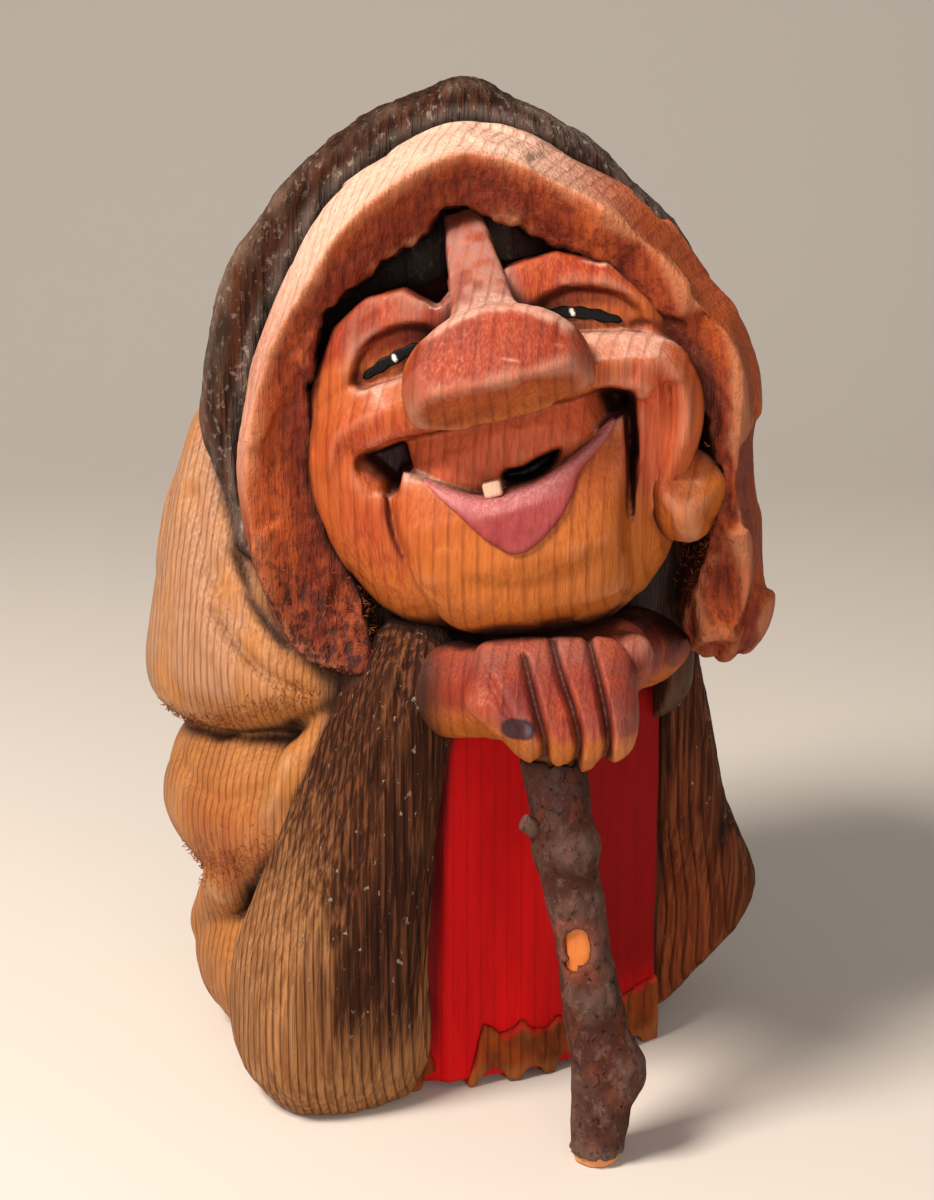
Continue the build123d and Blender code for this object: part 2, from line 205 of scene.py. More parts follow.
def carve(name, field, low, high, step):  # cuts the field out of a block of voxels, as a mesh
    axes = [np.arange(a, b + step / 2, step) for a, b in zip(low, high)]
    block = field(axes[0][:, None, None], axes[1][None, :, None], axes[2][None, None, :])
    block = np.array(np.broadcast_to(block, [len(a) for a in axes]), np.float32)
    for side in (block[0], block[-1], block[:, 0], block[:, -1], block[:, :, 0], block[:, :, -1]):
        np.maximum(side, step, out=side)
    cells = [np.arange(math.ceil(a[0]), math.floor(a[-1]) + 1) for a in axes]
    inner = block[np.ix_(*[np.round((c - a[0]) / step).astype(int) for c, a in zip(cells, axes)])] < 0
    wood[np.ix_(*[c - s for c, s in zip(cells, lattice["low"])])] |= inner
    band = 3 * step
    grid = openvdb.FloatGrid(band)
    grid.copyFromArray(np.clip(block, -band, band))
    points, quads = grid.convertToQuads(0.0)
    points, quads = withoutCrumbs(points, quads.astype(np.int64))
    print("carved", name, len(points), "points")
    return points * float(step) + np.array(low, float), quads


def normalsOf(p, quads):
    face = np.cross(p[quads[:, 2]] - p[quads[:, 0]], p[quads[:, 3]] - p[quads[:, 1]])
    n = np.stack([np.bincount(quads.ravel(), np.repeat(face[:, c], 4), len(p)) for c in range(3)], 1)
    return n / (np.linalg.norm(n, axis=1)[:, None] + 1e-12)


def eased(p, quads):  # evens out the voxel steps without shrinking the shape
    a, b = quads.ravel(), np.roll(quads, -1, 1).ravel()
    ends, others = np.r_[a, b], np.r_[b, a]
    count = np.bincount(ends, minlength=len(p))[:, None]
    for amount in (0.5, -0.52):
        mean = np.stack([np.bincount(ends, p[others, c], len(p)) for c in range(3)], 1) / count
        p = p + amount * (mean - p)
    return p


def blurred(solid, radius):  # share of wood round each cell
    out = solid.astype(np.float32)
    for axis in (0, 0, 1, 1, 2, 2):
        pad = [(radius + 1, radius) if a == axis else (0, 0) for a in range(3)]
        total = np.moveaxis(np.cumsum(np.pad(out, pad), axis), axis, 0)
        span = 2 * radius + 1
        out = np.moveaxis((total[span:] - total[:-span]) / span, 0, axis)
    return out


def readWood(block, p):  # the lattice, read at points
    q = np.clip(p - np.array(lattice["low"]), 0, np.array(block.shape) - 1.001)
    return cornerMix(q, lambda i, j, k: block[i, j, k])


# The face is a carved relief, drawn square to the face plane.
face = {
    "centre": (5.8, -30.0, 103.5), "roll": 14.0, "pitch": 8.0, "step": 0.2, "halfU": 33.0, "halfV": 35.0,
    "rim": [(-26, 11.7), (-28.4, 3.7), (-29.2, -4.7), (-27.3, -13.7), (-21.6, -23.4), (-14.4, -27.4),
            (-5.6, -30.6), (2.6, -31.6), (10, -29), (16.2, -24.4), (20.5, -17.5), (24.5, -9.6), (27, -3.5),
            (27, 2.5), (24.5, 11), (20, 21), (10, 28.5), (0, 31), (-12, 28.5), (-21.5, 21)],
    "browTop": [(-28, 8), (-24.5, 13.5), (-21.1, 18.6), (-15.3, 21.4), (-9.6, 21.2), (-5.7, 17.5), (-2, 20),
                (0.8, 23), (3, 20), (4.8, 20.6), (12.1, 21.2), (19, 17.9), (23.7, 11.2), (27, 6)],
    "chin": [(-16.8, -4.0), (-17.8, -7), (-18.4, -12), (-17.8, -19), (-14.8, -26.2), (-6, -30.2),
             (3.4, -31.2), (10.6, -28), (12.6, -21), (15.2, -9.2), (17.2, -1.2), (13.6, -3.9), (5, -7.9),
             (-0.5, -9.2), (-5.6, -9.2), (-12.5, -5.6)],
    "mouth": [(-21.8, 0.0), (-18.1, 0.7), (-15, 1.0), (-13, 1.1), (-3, 0.8), (8, 1.0), (13.5, 1.3),
              (17.5, -0.2), (16.8, -2.4), (13.6, -3.4), (9, -5.4), (5, -7.2), (0, -8.6), (-5.6, -8.5),
              (-10, -6.6), (-13.5, -4.6), (-15.8, -3.4), (-16.6, -5.0), (-17.6, -6.7), (-19.8, -6.3),
              (-22.8, -5.2), (-22.6, -2.6)],
    "slit": [(-2.6, -8.3), (0, -9.0), (3.2, -8.4), (6.6, -5.6), (3.4, -5.9), (0.4, -6.6), (-2.4, -6.9)],
    "lip": [(-13.4, -5.0), (-9.5, -7.4), (-5.6, -9.1), (-0.5, -9.3), (5, -8.0), (9.8, -5.8), (14.6, -2.8),
            (13.2, -5.4), (8.6, -8.8), (6.4, -11.8), (3.2, -15.2), (-2.3, -17.9), (-6.1, -15.4),
            (-9.3, -11.0)],
    # crest of each cheek roll: where its lit upper cut meets the front cut, with heights and half widths
    "leftRoll": ([(-8, 6.2), (-13, 5.6), (-19.4, 5.1), (-24.3, 2.6), (-26.2, -3), (-25.4, -11), (-21.2, -19)],
                 (12.5, 11.4, 9.0, 5.6, 3.4, 2.6, 3.4), (3.6, 3.6, 3.6, 3.6, 3.2, 3.0, 2.6),
                 (4.6, 4.4, 5.0, 5.8, 6.2, 5.6, 4.2)),
    "rightRoll": ([(8, 5.8), (12.2, 5.0), (18.7, 4.1), (23.1, 2.4), (24.9, -2), (23.6, -8), (19.4, -14.5)],
                  (13.6, 12.6, 10.6, 8.6, 7.0, 5.6, 4.6), (4.2, 4.2, 3.8, 3.2, 2.8, 2.6, 2.4),
                  (4.2, 4.0, 4.6, 5.4, 6.2, 5.6, 4.2)),
    "eyes": ([(-18.4, 10.5), (-13.3, 12.2), (-8.9, 13.1)], [(9.2, 13.3), (14.1, 11.8), (18.7, 9.6)]),
    "glints": (6, 4), "eyeHalf": 0.85, "eyeRaise": 0.5, "lipRaise": 0.9, "depth": 24,
    "skull": ((0, 0, -20), (25, 27, 18)),
    # centre, radii and turn
    "brows": (((-13.4, 13.0), (9.8, 8.4), 14), ((14.2, 12.2), (11.4, 8.8), -20)),
    "eyeHollows": (((-12.9, 11.2), (7.8, 5.3), 14), ((14.4, 10.6), (8.8, 5.2), -18)),
    # heights up the face, with how far forward the chin stands, how round its edge is, and the mouth's floor
    "chinFront": ((-33, -30.6, -26.6, -19, -12, -6, 0), (1.5, 7.2, 11.6, 14.2, 13.6, 11.2, 9.4)),
    "chinEdge": ((-26, -15, -6), (5.5, 4.0, 1.2)),
    "mouthFloor": ((-9, -6, 1.5), (8.6, 8.0, 5.6)),
    # line, depth at its two ends, and half width
    "wrinkles": (
        ([(-18.6, -5.5), (-19.0, -12), (-17.6, -19.5)], (2.4, 0.3), 0.7),
        ([(17.3, -0.6), (15.5, -9.2), (13.6, -15), (12.0, -20.8)], (7.0, 2.6), 0.6),
        ([(22.6, -0.5), (21.6, -6), (19.4, -11.6)], (1.5, 0.5), 0.5),
        ([(-15, -16.5), (-9, -21), (-2.3, -22.6), (5, -22.4), (10.4, -20.8)], (0.35, 0.35), 1.2),
        ([(-25.6, 7.6), (-22, 9.3), (-19.0, 10.4)], (0.7, 0.7), 0.5),
        ([(20.2, 8.6), (23.4, 7.6), (25.4, 5.2)], (0.6, 0.6), 0.5),
    ),
}
mapU = np.arange(-face["halfU"], face["halfU"], face["step"])[:, None]
mapV = np.arange(-face["halfV"], face["halfV"], face["step"])[None, :]
mouthEdge, slitEdge, lipEdge = (outline(face[edge], mapU, mapV) for edge in ("mouth", "slit", "lip"))


def toFace(x, y, z):  # across, up and out from the face plane
    roll, pitch = math.radians(face["roll"]), math.radians(face["pitch"])
    across = np.array((math.cos(roll), 0, math.sin(roll)))
    forward = np.array((-math.sin(roll) * math.sin(pitch), -math.cos(pitch),
                        math.cos(roll) * math.sin(pitch)))
    d = (x - face["centre"][0], y - face["centre"][1], z - face["centre"][2])
    return [sum(a[c] * d[c] for c in range(3)) for a in (across, np.cross(forward, across), forward)]


def tiltedEgg(u, v, centre, radii, turn):  # 1 on its edge
    c, s = math.cos(math.radians(turn)), math.sin(math.radians(turn))
    a, b = u - centre[0], v - centre[1]
    return np.sqrt(((a * c + b * s) / radii[0]) ** 2 + ((b * c - a * s) / radii[1]) ** 2)


def faceRelief():
    u, v = mapU, mapV
    rim = outline(face["rim"], u, v) - 1.2
    h = -5 + 11.5 * np.sqrt(1 - (1 - np.clip(-rim / 15, 0, 1)) ** 2)
    for centre, radii, turn in face["brows"]:
        e = tiltedEgg(u, v, centre, radii, turn)
        h = np.where(e < 1, np.maximum(h, 7.4 - 3.4 * e ** 4 - 0.12 * np.abs(u - 1)), h)
    above = v - np.interp(u, *np.array(face["browTop"]).T)
    h = h - (h + 14) * ramp(-0.3, 1.6, above)  # the dark hollow under the kerchief
    for centre, radii, turn in face["eyeHollows"]:
        e = tiltedEgg(u, v, centre, radii, turn)
        sunk = np.minimum(h, 4.4 + 0.6 * (1 - e) - 0.10 * np.abs(u - 1))
        h = h + (sunk - h) * ramp(1.02, 0.74, e)
    for line, crest, upper, lower in (face["leftRoll"], face["rightRoll"]):
        d, place, side = along(line, u, v)
        side = side * (1 if line[0][0] > 0 else -1)
        seat = np.linspace(0, 1, len(crest))
        top, up, down = (np.interp(place, seat, row) for row in (crest, upper, lower))
        bevel = top - 1.25 * d  # lit cut
        front = top - 0.16 * d - 6 * np.clip(d / down - 0.78, 0, 1) ** 1.3  # front cut, then the undercut
        roll = np.where(side > 0, np.where(d < up, bevel, -99), np.where(d < down * 1.15, front, -99))
        h = np.maximum(h, roll)
    chin = outline(face["chin"], u, v)
    front = np.interp(v, *face["chinFront"])
    front = front - 4.6 * ((u + 1.5) / 18) ** 2 - rounded(chin, np.interp(v, *face["chinEdge"]))
    h = np.where(chin < 0, np.maximum(h, front), h)
    sunk = np.interp(v, *face["mouthFloor"]) - 0.012 * u ** 2
    slope = np.clip((u + 23.2) / 5.2 + (v + 3.2) / 7.0, 0, 1)  # the left corner deepens towards the chin
    sunk = np.where(u < -14.6, 5.0 - 8.0 * slope ** 2, sunk)
    sunk = sunk - 7.5 * np.exp(-((u - 15.6) / 2.4) ** 2)
    w = np.clip(-mouthEdge / 0.4, 0, 1)
    h = h * (1 - w) + np.minimum(h, sunk) * w
    h = h - 7 * np.clip(-slitEdge / 0.4, 0, 1)
    for line, depth, half in face["wrinkles"]:
        d, place = along(line, u, v)[:2]
        h = h - (depth[0] + (depth[1] - depth[0]) * place) * np.exp(-(d / half) ** 2)
    for axis in (0, 1):
        h = np.apply_along_axis(np.convolve, axis, h, np.array([1, 4, 6, 4, 1]) / 16, "same")
    return h, rim


faceHeight, faceRim = faceRelief()
slopeU, slopeV = np.gradient(faceHeight, face["step"])
faceEase = 1 / np.sqrt(1 + np.clip(slopeU ** 2 + slopeV ** 2, 0, 16))
print("face relief", faceHeight.shape)


def readMap(block, u, v):  # a map of the face, read at places on it
    a = np.clip((u + face["halfU"]) / face["step"], 0, block.shape[0] - 1.001)
    b = np.clip((v + face["halfV"]) / face["step"], 0, block.shape[1] - 1.001)
    i, j = a.astype(int), b.astype(int)
    a, b = a - i, b - j
    low = block[i, j] * (1 - a) + block[i + 1, j] * a
    return low * (1 - b) + (block[i, j + 1] * (1 - a) + block[i + 1, j + 1] * a) * b


def headField(x, y, z):
    u, v, w = toFace(x, y, z)
    front = (w - readMap(faceHeight, u, v)) * readMap(faceEase, u, v)
    relief = meet(front, readMap(faceRim, u, v), -face["depth"] - w)
    return smoothMin(relief, egg(u, v, w, *face["skull"]), 1.5)


nose = {
    "bulb": ((0.2, 5.6, 12.4), (13.4, 10.4, 11.4)), "underside": 0.4,
    # cuts across the bulb: slant, direction up and forward, and a point on the edge
    "cuts": ((0.05, (0.46, 0.888), (5.5, 21.8)), (-0.05, (-0.75, 0.66), (5.4, 21.6))),
    "bridgeHalf": 3.1, "bridgeFront": 12.6, "bridgeSlope": 0.80, "bridgeFoot": 10, "bridgeTop": 30,
}


def noseField(x, y, z):
    u, v, w = toFace(x, y, z)
    bulb = egg(u, v, w, *nose["bulb"])
    for slant, aim, edge in nose["cuts"]:
        cut = slant * u * 0.3 + (v - edge[0]) * aim[0] + (w - edge[1]) * aim[1] + 0.010 * u * u
        bulb = smoothMax(bulb, cut, 0.7)
    bulb = smoothMax(bulb, nose["underside"] - v + 0.012 * u * u, 0.5)
    half = nose["bridgeHalf"] + 0.13 * (26 - v)
    front = nose["bridgeFront"] - nose["bridgeSlope"] * (v - 15.0) - 0.05 * (u - 0.6) ** 2
    bridge = smoothMax(np.abs(u - 0.5) - half, w - front, 0.8)
    bridge = meet(bridge, v - nose["bridgeTop"], nose["bridgeFoot"] - v, -6 - w)
    return smoothMin(bulb, bridge, 1.2)


def lipField(x, y, z):
    u, v, w = toFace(x, y, z)
    seat, edge = readMap(faceHeight, u, v), readMap(lipEdge, u, v)
    skin = (w - seat - face["lipRaise"] + 0.5 * rounded(edge, 1.0)) * readMap(faceEase, u, v)
    return meet(skin, edge, seat - 1.2 - w)


ear = {
    "centre": (21.8, -16.2, -1.0), "radii": (6.2, 7.0, 8.0),
    "cuts": (((0.5, 0.45, 0.74), 4.4), ((0.72, -0.55, 0.42), 4.9)),  # direction and distance from the centre
}


def earField(x, y, z):
    at = toFace(x, y, z)
    lobe = egg(*at, ear["centre"], ear["radii"])
    for aim, reach in ear["cuts"]:
        lobe = smoothMax(lobe, tilted(*at, ear["centre"], aim) - reach, 0.8)
    return lobe


tooth = {"centre": (-4.1, -8.6, 9.4), "half": (0.9, 0.7, 2.2), "round": 0.4}


def toothField(x, y, z):
    q = [np.abs(c - m) - half for c, m, half in zip(toFace(x, y, z), tooth["centre"], tooth["half"])]
    return np.sqrt(sum(np.maximum(c, 0) ** 2 for c in q)) - tooth["round"]


def eyesField(x, y, z):
    u, v, w = toFace(x, y, z)
    edge = farOff
    for line in face["eyes"]:
        d, place = along(line, mapU, mapV)[:2]
        half = face["eyeHalf"] * np.sqrt(np.clip(1.04 - (2 * place - 1) ** 2, 0.02, 1))
        edge = np.minimum(edge, d - half + 0.10 * np.sin(2.6 * mapU + 0.6))
    edge, seat = readMap(edge, u, v), readMap(faceHeight, u, v)
    return meet(w - seat - face["eyeRaise"], edge, seat - 0.8 - w)


kerchief = {
    "outer": [(-18, 65), (-28, 71.5), (-31.8, 81), (-33.3, 90), (-33.5, 98), (-29.5, 115), (-20, 133),
              (-5, 143.5), (6, 143.5), (19, 137.2), (28, 130.6), (35.2, 122.4), (39.2, 118.2), (41.6, 112.6),
              (42.4, 107), (42, 98.5), (42, 93.5), (43.2, 87), (44, 80), (43, 73.4), (39.6, 68.6), (34, 67.6),
              (20, 62)],
    "opening": [(-8, 62), (-15.4, 78), (-19.8, 85.7), (-21.6, 94.5), (-22.1, 106.1), (-21, 115.3),
                (-18, 119.8), (-14.8, 122.6), (-11.4, 125.1), (-8.4, 127.3), (-5.4, 129.7), (-3.5, 132.4),
                (-1.2, 133.8), (3.2, 132.4), (10.2, 128.8), (16.2, 125.4), (20.6, 122.0), (24.8, 116.6),
                (29.6, 110.4), (33.4, 104.4), (35.4, 97.0), (35.2, 88.7), (33.2, 78.3), (30, 56)],
    "front": -33.0, "back": -15.0, "slope": 0.42, "bevel": 3.6, "bevelLess": 1.5,
    "knot": ((38.0, -22.5, 75.5), (6.8, 8.8, 9.4)), "gathers": (33.8, 37.6, 41.0),  # the hanging end
}


def bevelWidth(x, z):  # narrower down the figure's right side
    return kerchief["bevel"] - kerchief["bevelLess"] * ramp(126, 112, z) * ramp(4, -6, x)


def frontPoints(x, z):  # the grid as seen from the front, as a list of points
    return np.stack(np.broadcast_arrays(x[:, 0], 0.0, z[0]), -1).reshape(-1, 3)


def kerchiefField(x, y, z):
    s = -outline(kerchief["outer"], x[:, 0], z[0])[:, None, :]
    o = outline(kerchief["opening"], x[:, 0], z[0])
    flat = frontPoints(x, z)
    chips = 0.55 * lumps(flat, (1.5, 1, 1.5), 3) + 0.5 * lumps(flat, (4, 1, 4), 4)
    o = (o + chips.reshape(o.shape) * ramp(80, 100, z[0]))[:, None, :]
    bevel = bevelWidth(x, z)
    fall = np.where(s < bevel, 12 * np.clip(1 - s / bevel, 0, 1), kerchief["slope"] * (s - bevel))
    front = kerchief["front"] + fall
    body = smoothMax((front - y) * 0.8, -s, 0.7)
    body = smoothMax(body, y - kerchief["back"], 1.0)
    body = smoothMax(body, -(o + 0.06 * (y + 29)), 0.6)
    knot = egg(x, y, z, *kerchief["knot"])
    for across in kerchief["gathers"]:
        knot = knot + 0.9 * np.exp(-((x - across - 0.12 * (z - 75)) / 0.8) ** 2)
    return smoothMin(body, knot, 1.5)


hood = {
    "outer": [(-31.4, 79), (-35.6, 87), (-38.2, 94), (-39.6, 103), (-37.5, 117), (-30, 131.5), (-18, 143.5),
              (-4, 149.2), (8, 147.3), (20, 139), (31, 127.5), (37.5, 114), (39, 98), (37, 76), (0, 70)],
    "front": -16.5, "rear": 34.0, "foot": 76.0, "roundFrom": 10, "roundBy": 24, "lip": 4,
    "furrows": {"pitch": 11.0, "back": 6, "backFrom": 4.0, "sides": 3, "sideFrom": -7.0, "sideTop": 126.0,
                "depth": 1.6, "half": 1.2},
}


def hoodField(x, y, z):
    s = outline(hood["outer"], x[:, 0], z[0])
    flat = frontPoints(x, z)
    ragged = (0.9 * lumps(flat, (10, 1, 10), 5) + 0.22 * lumps(flat, (3.4, 1, 3.4), 6)).reshape(s.shape)
    s = s[:, None, :] + ragged[:, None, :] * ramp(8, -10, y)
    length = hood["rear"] - hood["front"] - hood["roundFrom"]
    back = np.clip((y - hood["front"] - hood["roundFrom"]) / length, 0, 1)
    lip = np.clip((hood["front"] + hood["lip"] - y) / hood["lip"], 0, 1)
    body = s + hood["roundBy"] * (1 - np.sqrt(1 - 0.98 * back ** 2)) + 1.5 * lip ** 2
    body = smoothMax(body, np.maximum(hood["front"] - y, y - hood["rear"]), 2.0)
    return smoothMax(body, hood["foot"] - z, 1.0)


trunk = {
    "centre": (-2.0, 4.0), "turn": 26.0, "power": 2.8,
    "sections": [(-8, 0, 0, 27.5, 29.5), (0, 0, 0, 28, 30), (30, 0, 0, 31, 32), (70, 0, 0, 26, 29),
                 (100, 0, 0, 20, 22)],
}


def toTrunk(x, y):  # across and forward
    c, s = math.cos(math.radians(trunk["turn"])), math.sin(math.radians(trunk["turn"]))
    a, b = x - trunk["centre"][0], y - trunk["centre"][1]
    return a * c + b * s, a * s - b * c


def tower(x, y, z, sections, power):  # sections: height, across, forward, half width, half depth
    t, n = toTrunk(x, y)
    a, b, ra, rb = (steps(sections, z, c) for c in (1, 2, 3, 4))
    k = ((np.abs(t - a) / ra) ** power + (np.abs(n - b) / rb) ** power + 1e-9) ** (1 / power)
    return (k - 1) * np.minimum(ra, rb)


cloak = {
    "humpAxis": (-18.5, 6.5),
    # height and radius of the hump
    "hump": [(46, 19), (48, 24), (51.8, 30), (56.5, 32.6), (62, 33), (70, 32), (81, 30), (90.6, 27.3),
             (100, 23), (107, 14)],
    "rolls": [((-19, 3, 39), (30, 31, 20)), ((-17, 0, 12.5), (27.4, 28.5, 19))],
    "humpSlope": (-12.0, 84.0, 0.63),
    "fold": [(-15.5, -20.5, 62, 3.4), (-24, -22.6, 49, 4.4), (-30, -20.2, 39.5, 4.9), (-36, -12.5, 28, 5.4),
             (-39.3, -3, 17, 5.4), (-38, 9, 12, 5.2), (-30, 20, 10, 5)],
    "neck": ((15, -3, 82), (21, 13, 17)),
    "shoulder": ((27, -9, 62), (27, -9, 88), 9.0, 9.0),
    "humpFoot": 46, "humpTop": 107, "top": 104,
    "seat": (20.4, 22.1, 63.4),  # half width, back and top of the recess that the apron sits in
    # line, depth and half width
    "creases": [([(-38, 72), (-31.5, 65), (-25, 61.5)], 1.3, 0.9),
                ([(-42, 88), (-39.5, 79), (-35, 71.5)], 1.0, 1.4),
                ([(-34, 80), (-31.5, 74), (-27, 69)], 0.8, 1.2),
                ([(-45, 45.5), (-38, 43), (-31, 46)], 0.8, 1.3)],
    # torn fibres: line and half width
    "torn": [([(-48, 51), (-40, 54), (-33.3, 57.5), (-23.4, 62)], 1.8),
             ([(-42, 30), (-36, 33), (-30, 37)], 2.5)],
}


def cloakField(x, y, z):
    t, n = toTrunk(x, y)
    body = tower(x, y, z, trunk["sections"], trunk["power"])
    rho = np.sqrt((x - cloak["humpAxis"][0]) ** 2 + (y - cloak["humpAxis"][1]) ** 2)
    lift = (0.12 * (x + 46) - 0.10 * (y - 5)) * ramp(82, 58, z)  # the hump's foot rises towards the front
    hump = np.maximum((rho - steps(cloak["hump"], z - np.clip(lift, -3, 7), 1)) * 0.85, z - cloak["humpTop"])
    back, high, rise = cloak["humpSlope"]  # its upper front leans back under the bark
    hump = smoothMax(hump, (back - rise * (high - z) - y) * 0.85, 4.0)
    body = smoothMin(body, np.maximum(hump, cloak["humpFoot"] - z), 2.0)
    for centre, radii in cloak["rolls"]:
        body = smoothMin(body, egg(x, y, z, centre, radii), 1.2)
    for a, b in zip(cloak["fold"][:-1], cloak["fold"][1:]):
        body = smoothMin(body, rod(x, y, z, a[:3], b[:3], a[3], b[3]), 0.7)
    body = smoothMin(body, egg(x, y, z, *cloak["neck"]), 1.0)
    body = smoothMin(body, rod(x, y, z, *cloak["shoulder"]), 2.0)
    half, back, top = cloak["seat"]
    seat = meet(np.abs(t) - half, back - n, z - top)
    body = smoothMax(np.maximum(body, -seat), z - cloak["top"], 2.0)
    return np.maximum(body, -z)


rightSleeve = {
    "sections": [(-8, -29, 21.5, 7.0, 6.5), (-1, -29.8, 21.5, 10.4, 9.4), (7, -31.3, 21.5, 13.8, 13),
                 (22, -31, 21.5, 13.2, 14.5), (42, -27, 23.5, 9.6, 13.5), (60, -23, 27, 7.4, 10.5),
                 (69, -20.6, 28.6, 6.2, 8), (75, -19.2, 28.6, 2.8, 4.0)],
    "power": 2.9, "top": 74, "darkFrom": -0.46, "darkTo": 0.70,  # the dark band, in half widths
}
leftSleeve = {
    "sections": [(2, 24.5, 17, 3, 6), (9, 29, 15, 8.5, 9.5), (19, 34, 12.5, 14, 11.5),
                 (36, 30.5, 14.5, 9.5, 11.5), (54, 28, 17, 6.5, 9.5), (66, 26, 20, 4.6, 6.5)],
    "power": 2.5, "foot": 2, "top": 66,
}


def acrossRightSleeve(x, y, z):  # -1 to 1
    place = toTrunk(x, y)[0] - steps(rightSleeve["sections"], z, 1)
    return place / steps(rightSleeve["sections"], z, 3)


def rightSleeveField(x, y, z):
    body = tower(x, y, z, rightSleeve["sections"], rightSleeve["power"])
    edge = acrossRightSleeve(x, y, z)
    body = body + 0.7 * np.exp(-((edge + 0.62) / 0.10) ** 2) * ramp(4, 14, z)  # line between flank and front
    return smoothMax(body, np.maximum(-z, z - rightSleeve["top"]), 1.0)


def leftSleeveField(x, y, z):
    body = tower(x, y, z, leftSleeve["sections"], leftSleeve["power"])
    return smoothMax(body, np.maximum(leftSleeve["foot"] - z, z - leftSleeve["top"]), 1.5)


apron = {
    "halfWidth": 22.2, "top": 62.0, "foot": 1.0, "back": 21.5,
    "hemRaise": 0.9, "hemBack": 24, "notchBack": 25.5,
    "facets": [(-22, 28.0), (-17.6, 28.8), (-15.4, 30.6), (-9, 31.0), (-2.6, 32.0), (3.5, 31.4), (8.5, 30.9),
               (14, 29.8), (22, 28.0)],
    # top of the unpainted tongues along the hem
    "tongues": [(-22, 8.5), (-18.5, 7.0), (-17, 2.5), (-16, 0.4), (-12.8, 0.2), (-11.4, 5.0), (-10.2, 10.2),
                (-9, 9.6), (-7.6, 8.0), (-5.2, 8.6), (-3.8, 9.8), (-2.4, 8.2), (0.6, 7.6), (2.6, 9.2),
                (5, 8.0), (9, 9.4), (12, 7.6), (16, 9.6), (22, 11)],
    "notches": [-17.6, -8.8, -2.2, 4.4, 11.0, 16.8],
}


def readApron(row, t):  # a row of the apron's table, across it
    return np.interp(t, *np.array(apron[row]).T)


def apronField(x, y, z):
    t, n = toTrunk(x, y)
    body = smoothMax(n - readApron("facets", t), np.abs(t) - apron["halfWidth"], 1.0)
    return meet(body, apron["back"] - n, z - apron["top"], apron["foot"] - z)


def hemField(x, y, z):
    t, n = toTrunk(x, y)
    front = readApron("facets", t) + apron["hemRaise"]
    top = z - readApron("tongues", t)
    body = smoothMax(smoothMax(n - front, np.abs(t) - apron["halfWidth"] - 0.3, 1.0), top * 0.55, 0.8)
    for i, across in enumerate(apron["notches"]):
        half, high = 2.0 + 0.5 * (i % 2), 3.2 - 0.5 * (i % 3)
        gap = np.sqrt(((t - across) / half) ** 2 + ((z + 0.4) / high) ** 2) - 1
        body = smoothMax(body, np.maximum(-gap * 1.8, apron["notchBack"] - n), 0.6)
    return meet(body, apron["hemBack"] - n, -z)


hand = {
    "outline": [(-0.4, 66.8), (0.6, 71.5), (2.6, 74.8), (8, 76.4), (15, 76.6), (20.4, 75.6), (23.2, 71),
                (23.8, 65.5), (23.2, 61.0), (21.0, 58.6), (18.8, 58.6), (17.4, 57.2), (15.6, 56.6),
                (14.2, 57.6), (12.8, 56.2), (11.2, 57.0), (10.2, 58.6), (8.6, 58.0), (6.6, 59.6), (5.0, 61.4),
                (2.4, 63.6)],
    "front": [(54, -48.0), (57, -51.4), (60, -53.0), (63.5, -53.5), (66, -52.8), (70, -50.0), (74, -45.8),
              (78, -40.0)],
    "grooves": [[(8.0, 72.6), (9.4, 67.4), (10.7, 62.7), (10.6, 57.6)],
                [(11.9, 74.2), (13.2, 70.2), (14.6, 66.5), (15.4, 62), (14.2, 56.0)],
                [(16.9, 74.6), (18.4, 69), (19.4, 62.5), (18.6, 57.2)],
                [(3.4, 70.4), (5.8, 66.6), (7.4, 63.4)]],
    "depths": (1.6, 1.8, 2.0, 0.6), "grooveHalf": 1.1, "round": 6.0, "back": -36.5, "nail": (7.0, 64.6),
}
bore = {"from": (13.9, -48.0, 45.0), "to": (10.75, -45.4, 68.3), "radius": 3.7, "mouth": 4.8,
        "mouthTop": 60.2}


def boreField(x, y, z):
    a, b = np.array(bore["from"]), np.array(bore["to"])
    length = np.linalg.norm(b - a)
    p = [c - m for c, m in zip((x, y, z), a)]
    t = sum(c * m for c, m in zip(p, (b - a) / length))
    gap = np.sqrt(np.maximum(sum(c ** 2 for c in p) - t * t, 0))
    hole = np.maximum(gap - bore["radius"], t - length)
    return np.minimum(hole, np.maximum(gap - bore["mouth"], z - bore["mouthTop"]))


def fistField(x, y, z):
    plan = outline(hand["outline"], x[:, 0], z[0])
    front = np.interp(z[0], *np.array(hand["front"]).T) + rounded(plan, hand["round"]) * 0.8
    for line, depth in zip(hand["grooves"], hand["depths"]):
        d, place, side = along(line, x[:, 0], z[0])
        swell = 0.7 * np.clip(1 - d / 4, 0, 1) * ramp(-0.5, 0.5, d * side)
        front = front + depth * np.clip(1 - d / hand["grooveHalf"], 0, 1) - swell
    body = smoothMax((front[:, None, :] - y) * 0.75, plan[:, None, :], 1.0)
    body = smoothMax(body, y - hand["back"] + 0.6 * (z - 66), 2.0)
    return np.maximum(body, -boreField(x, y, z))


arms = {  # two ends and their radii
    "right": ((-11.5, -27.5, 63.6), (5.0, -41.0, 66.6), 7.0, 6.8),
    "left": ((28, -12, 66), (18, -31, 68.5), 6.4, 6.2),
    "leftPalm": ((20.5, -34.5, 69.4), (13, -37, 68.6), 6.2, 6.2),
    "leftThumb": ((18.5, -37.5, 71), (23.4, -40, 71.8), 3.0, 2.9),
}


def rightArmField(x, y, z):
    return np.maximum(rod(x, y, z, *arms["right"]), -boreField(x, y, z))


def leftArmField(x, y, z):
    return rod(x, y, z, *arms["left"])


def leftHandField(x, y, z):
    held = smoothMin(rod(x, y, z, *arms["leftPalm"]), rod(x, y, z, *arms["leftThumb"]), 1.0)
    return np.maximum(held, -boreField(x, y, z))


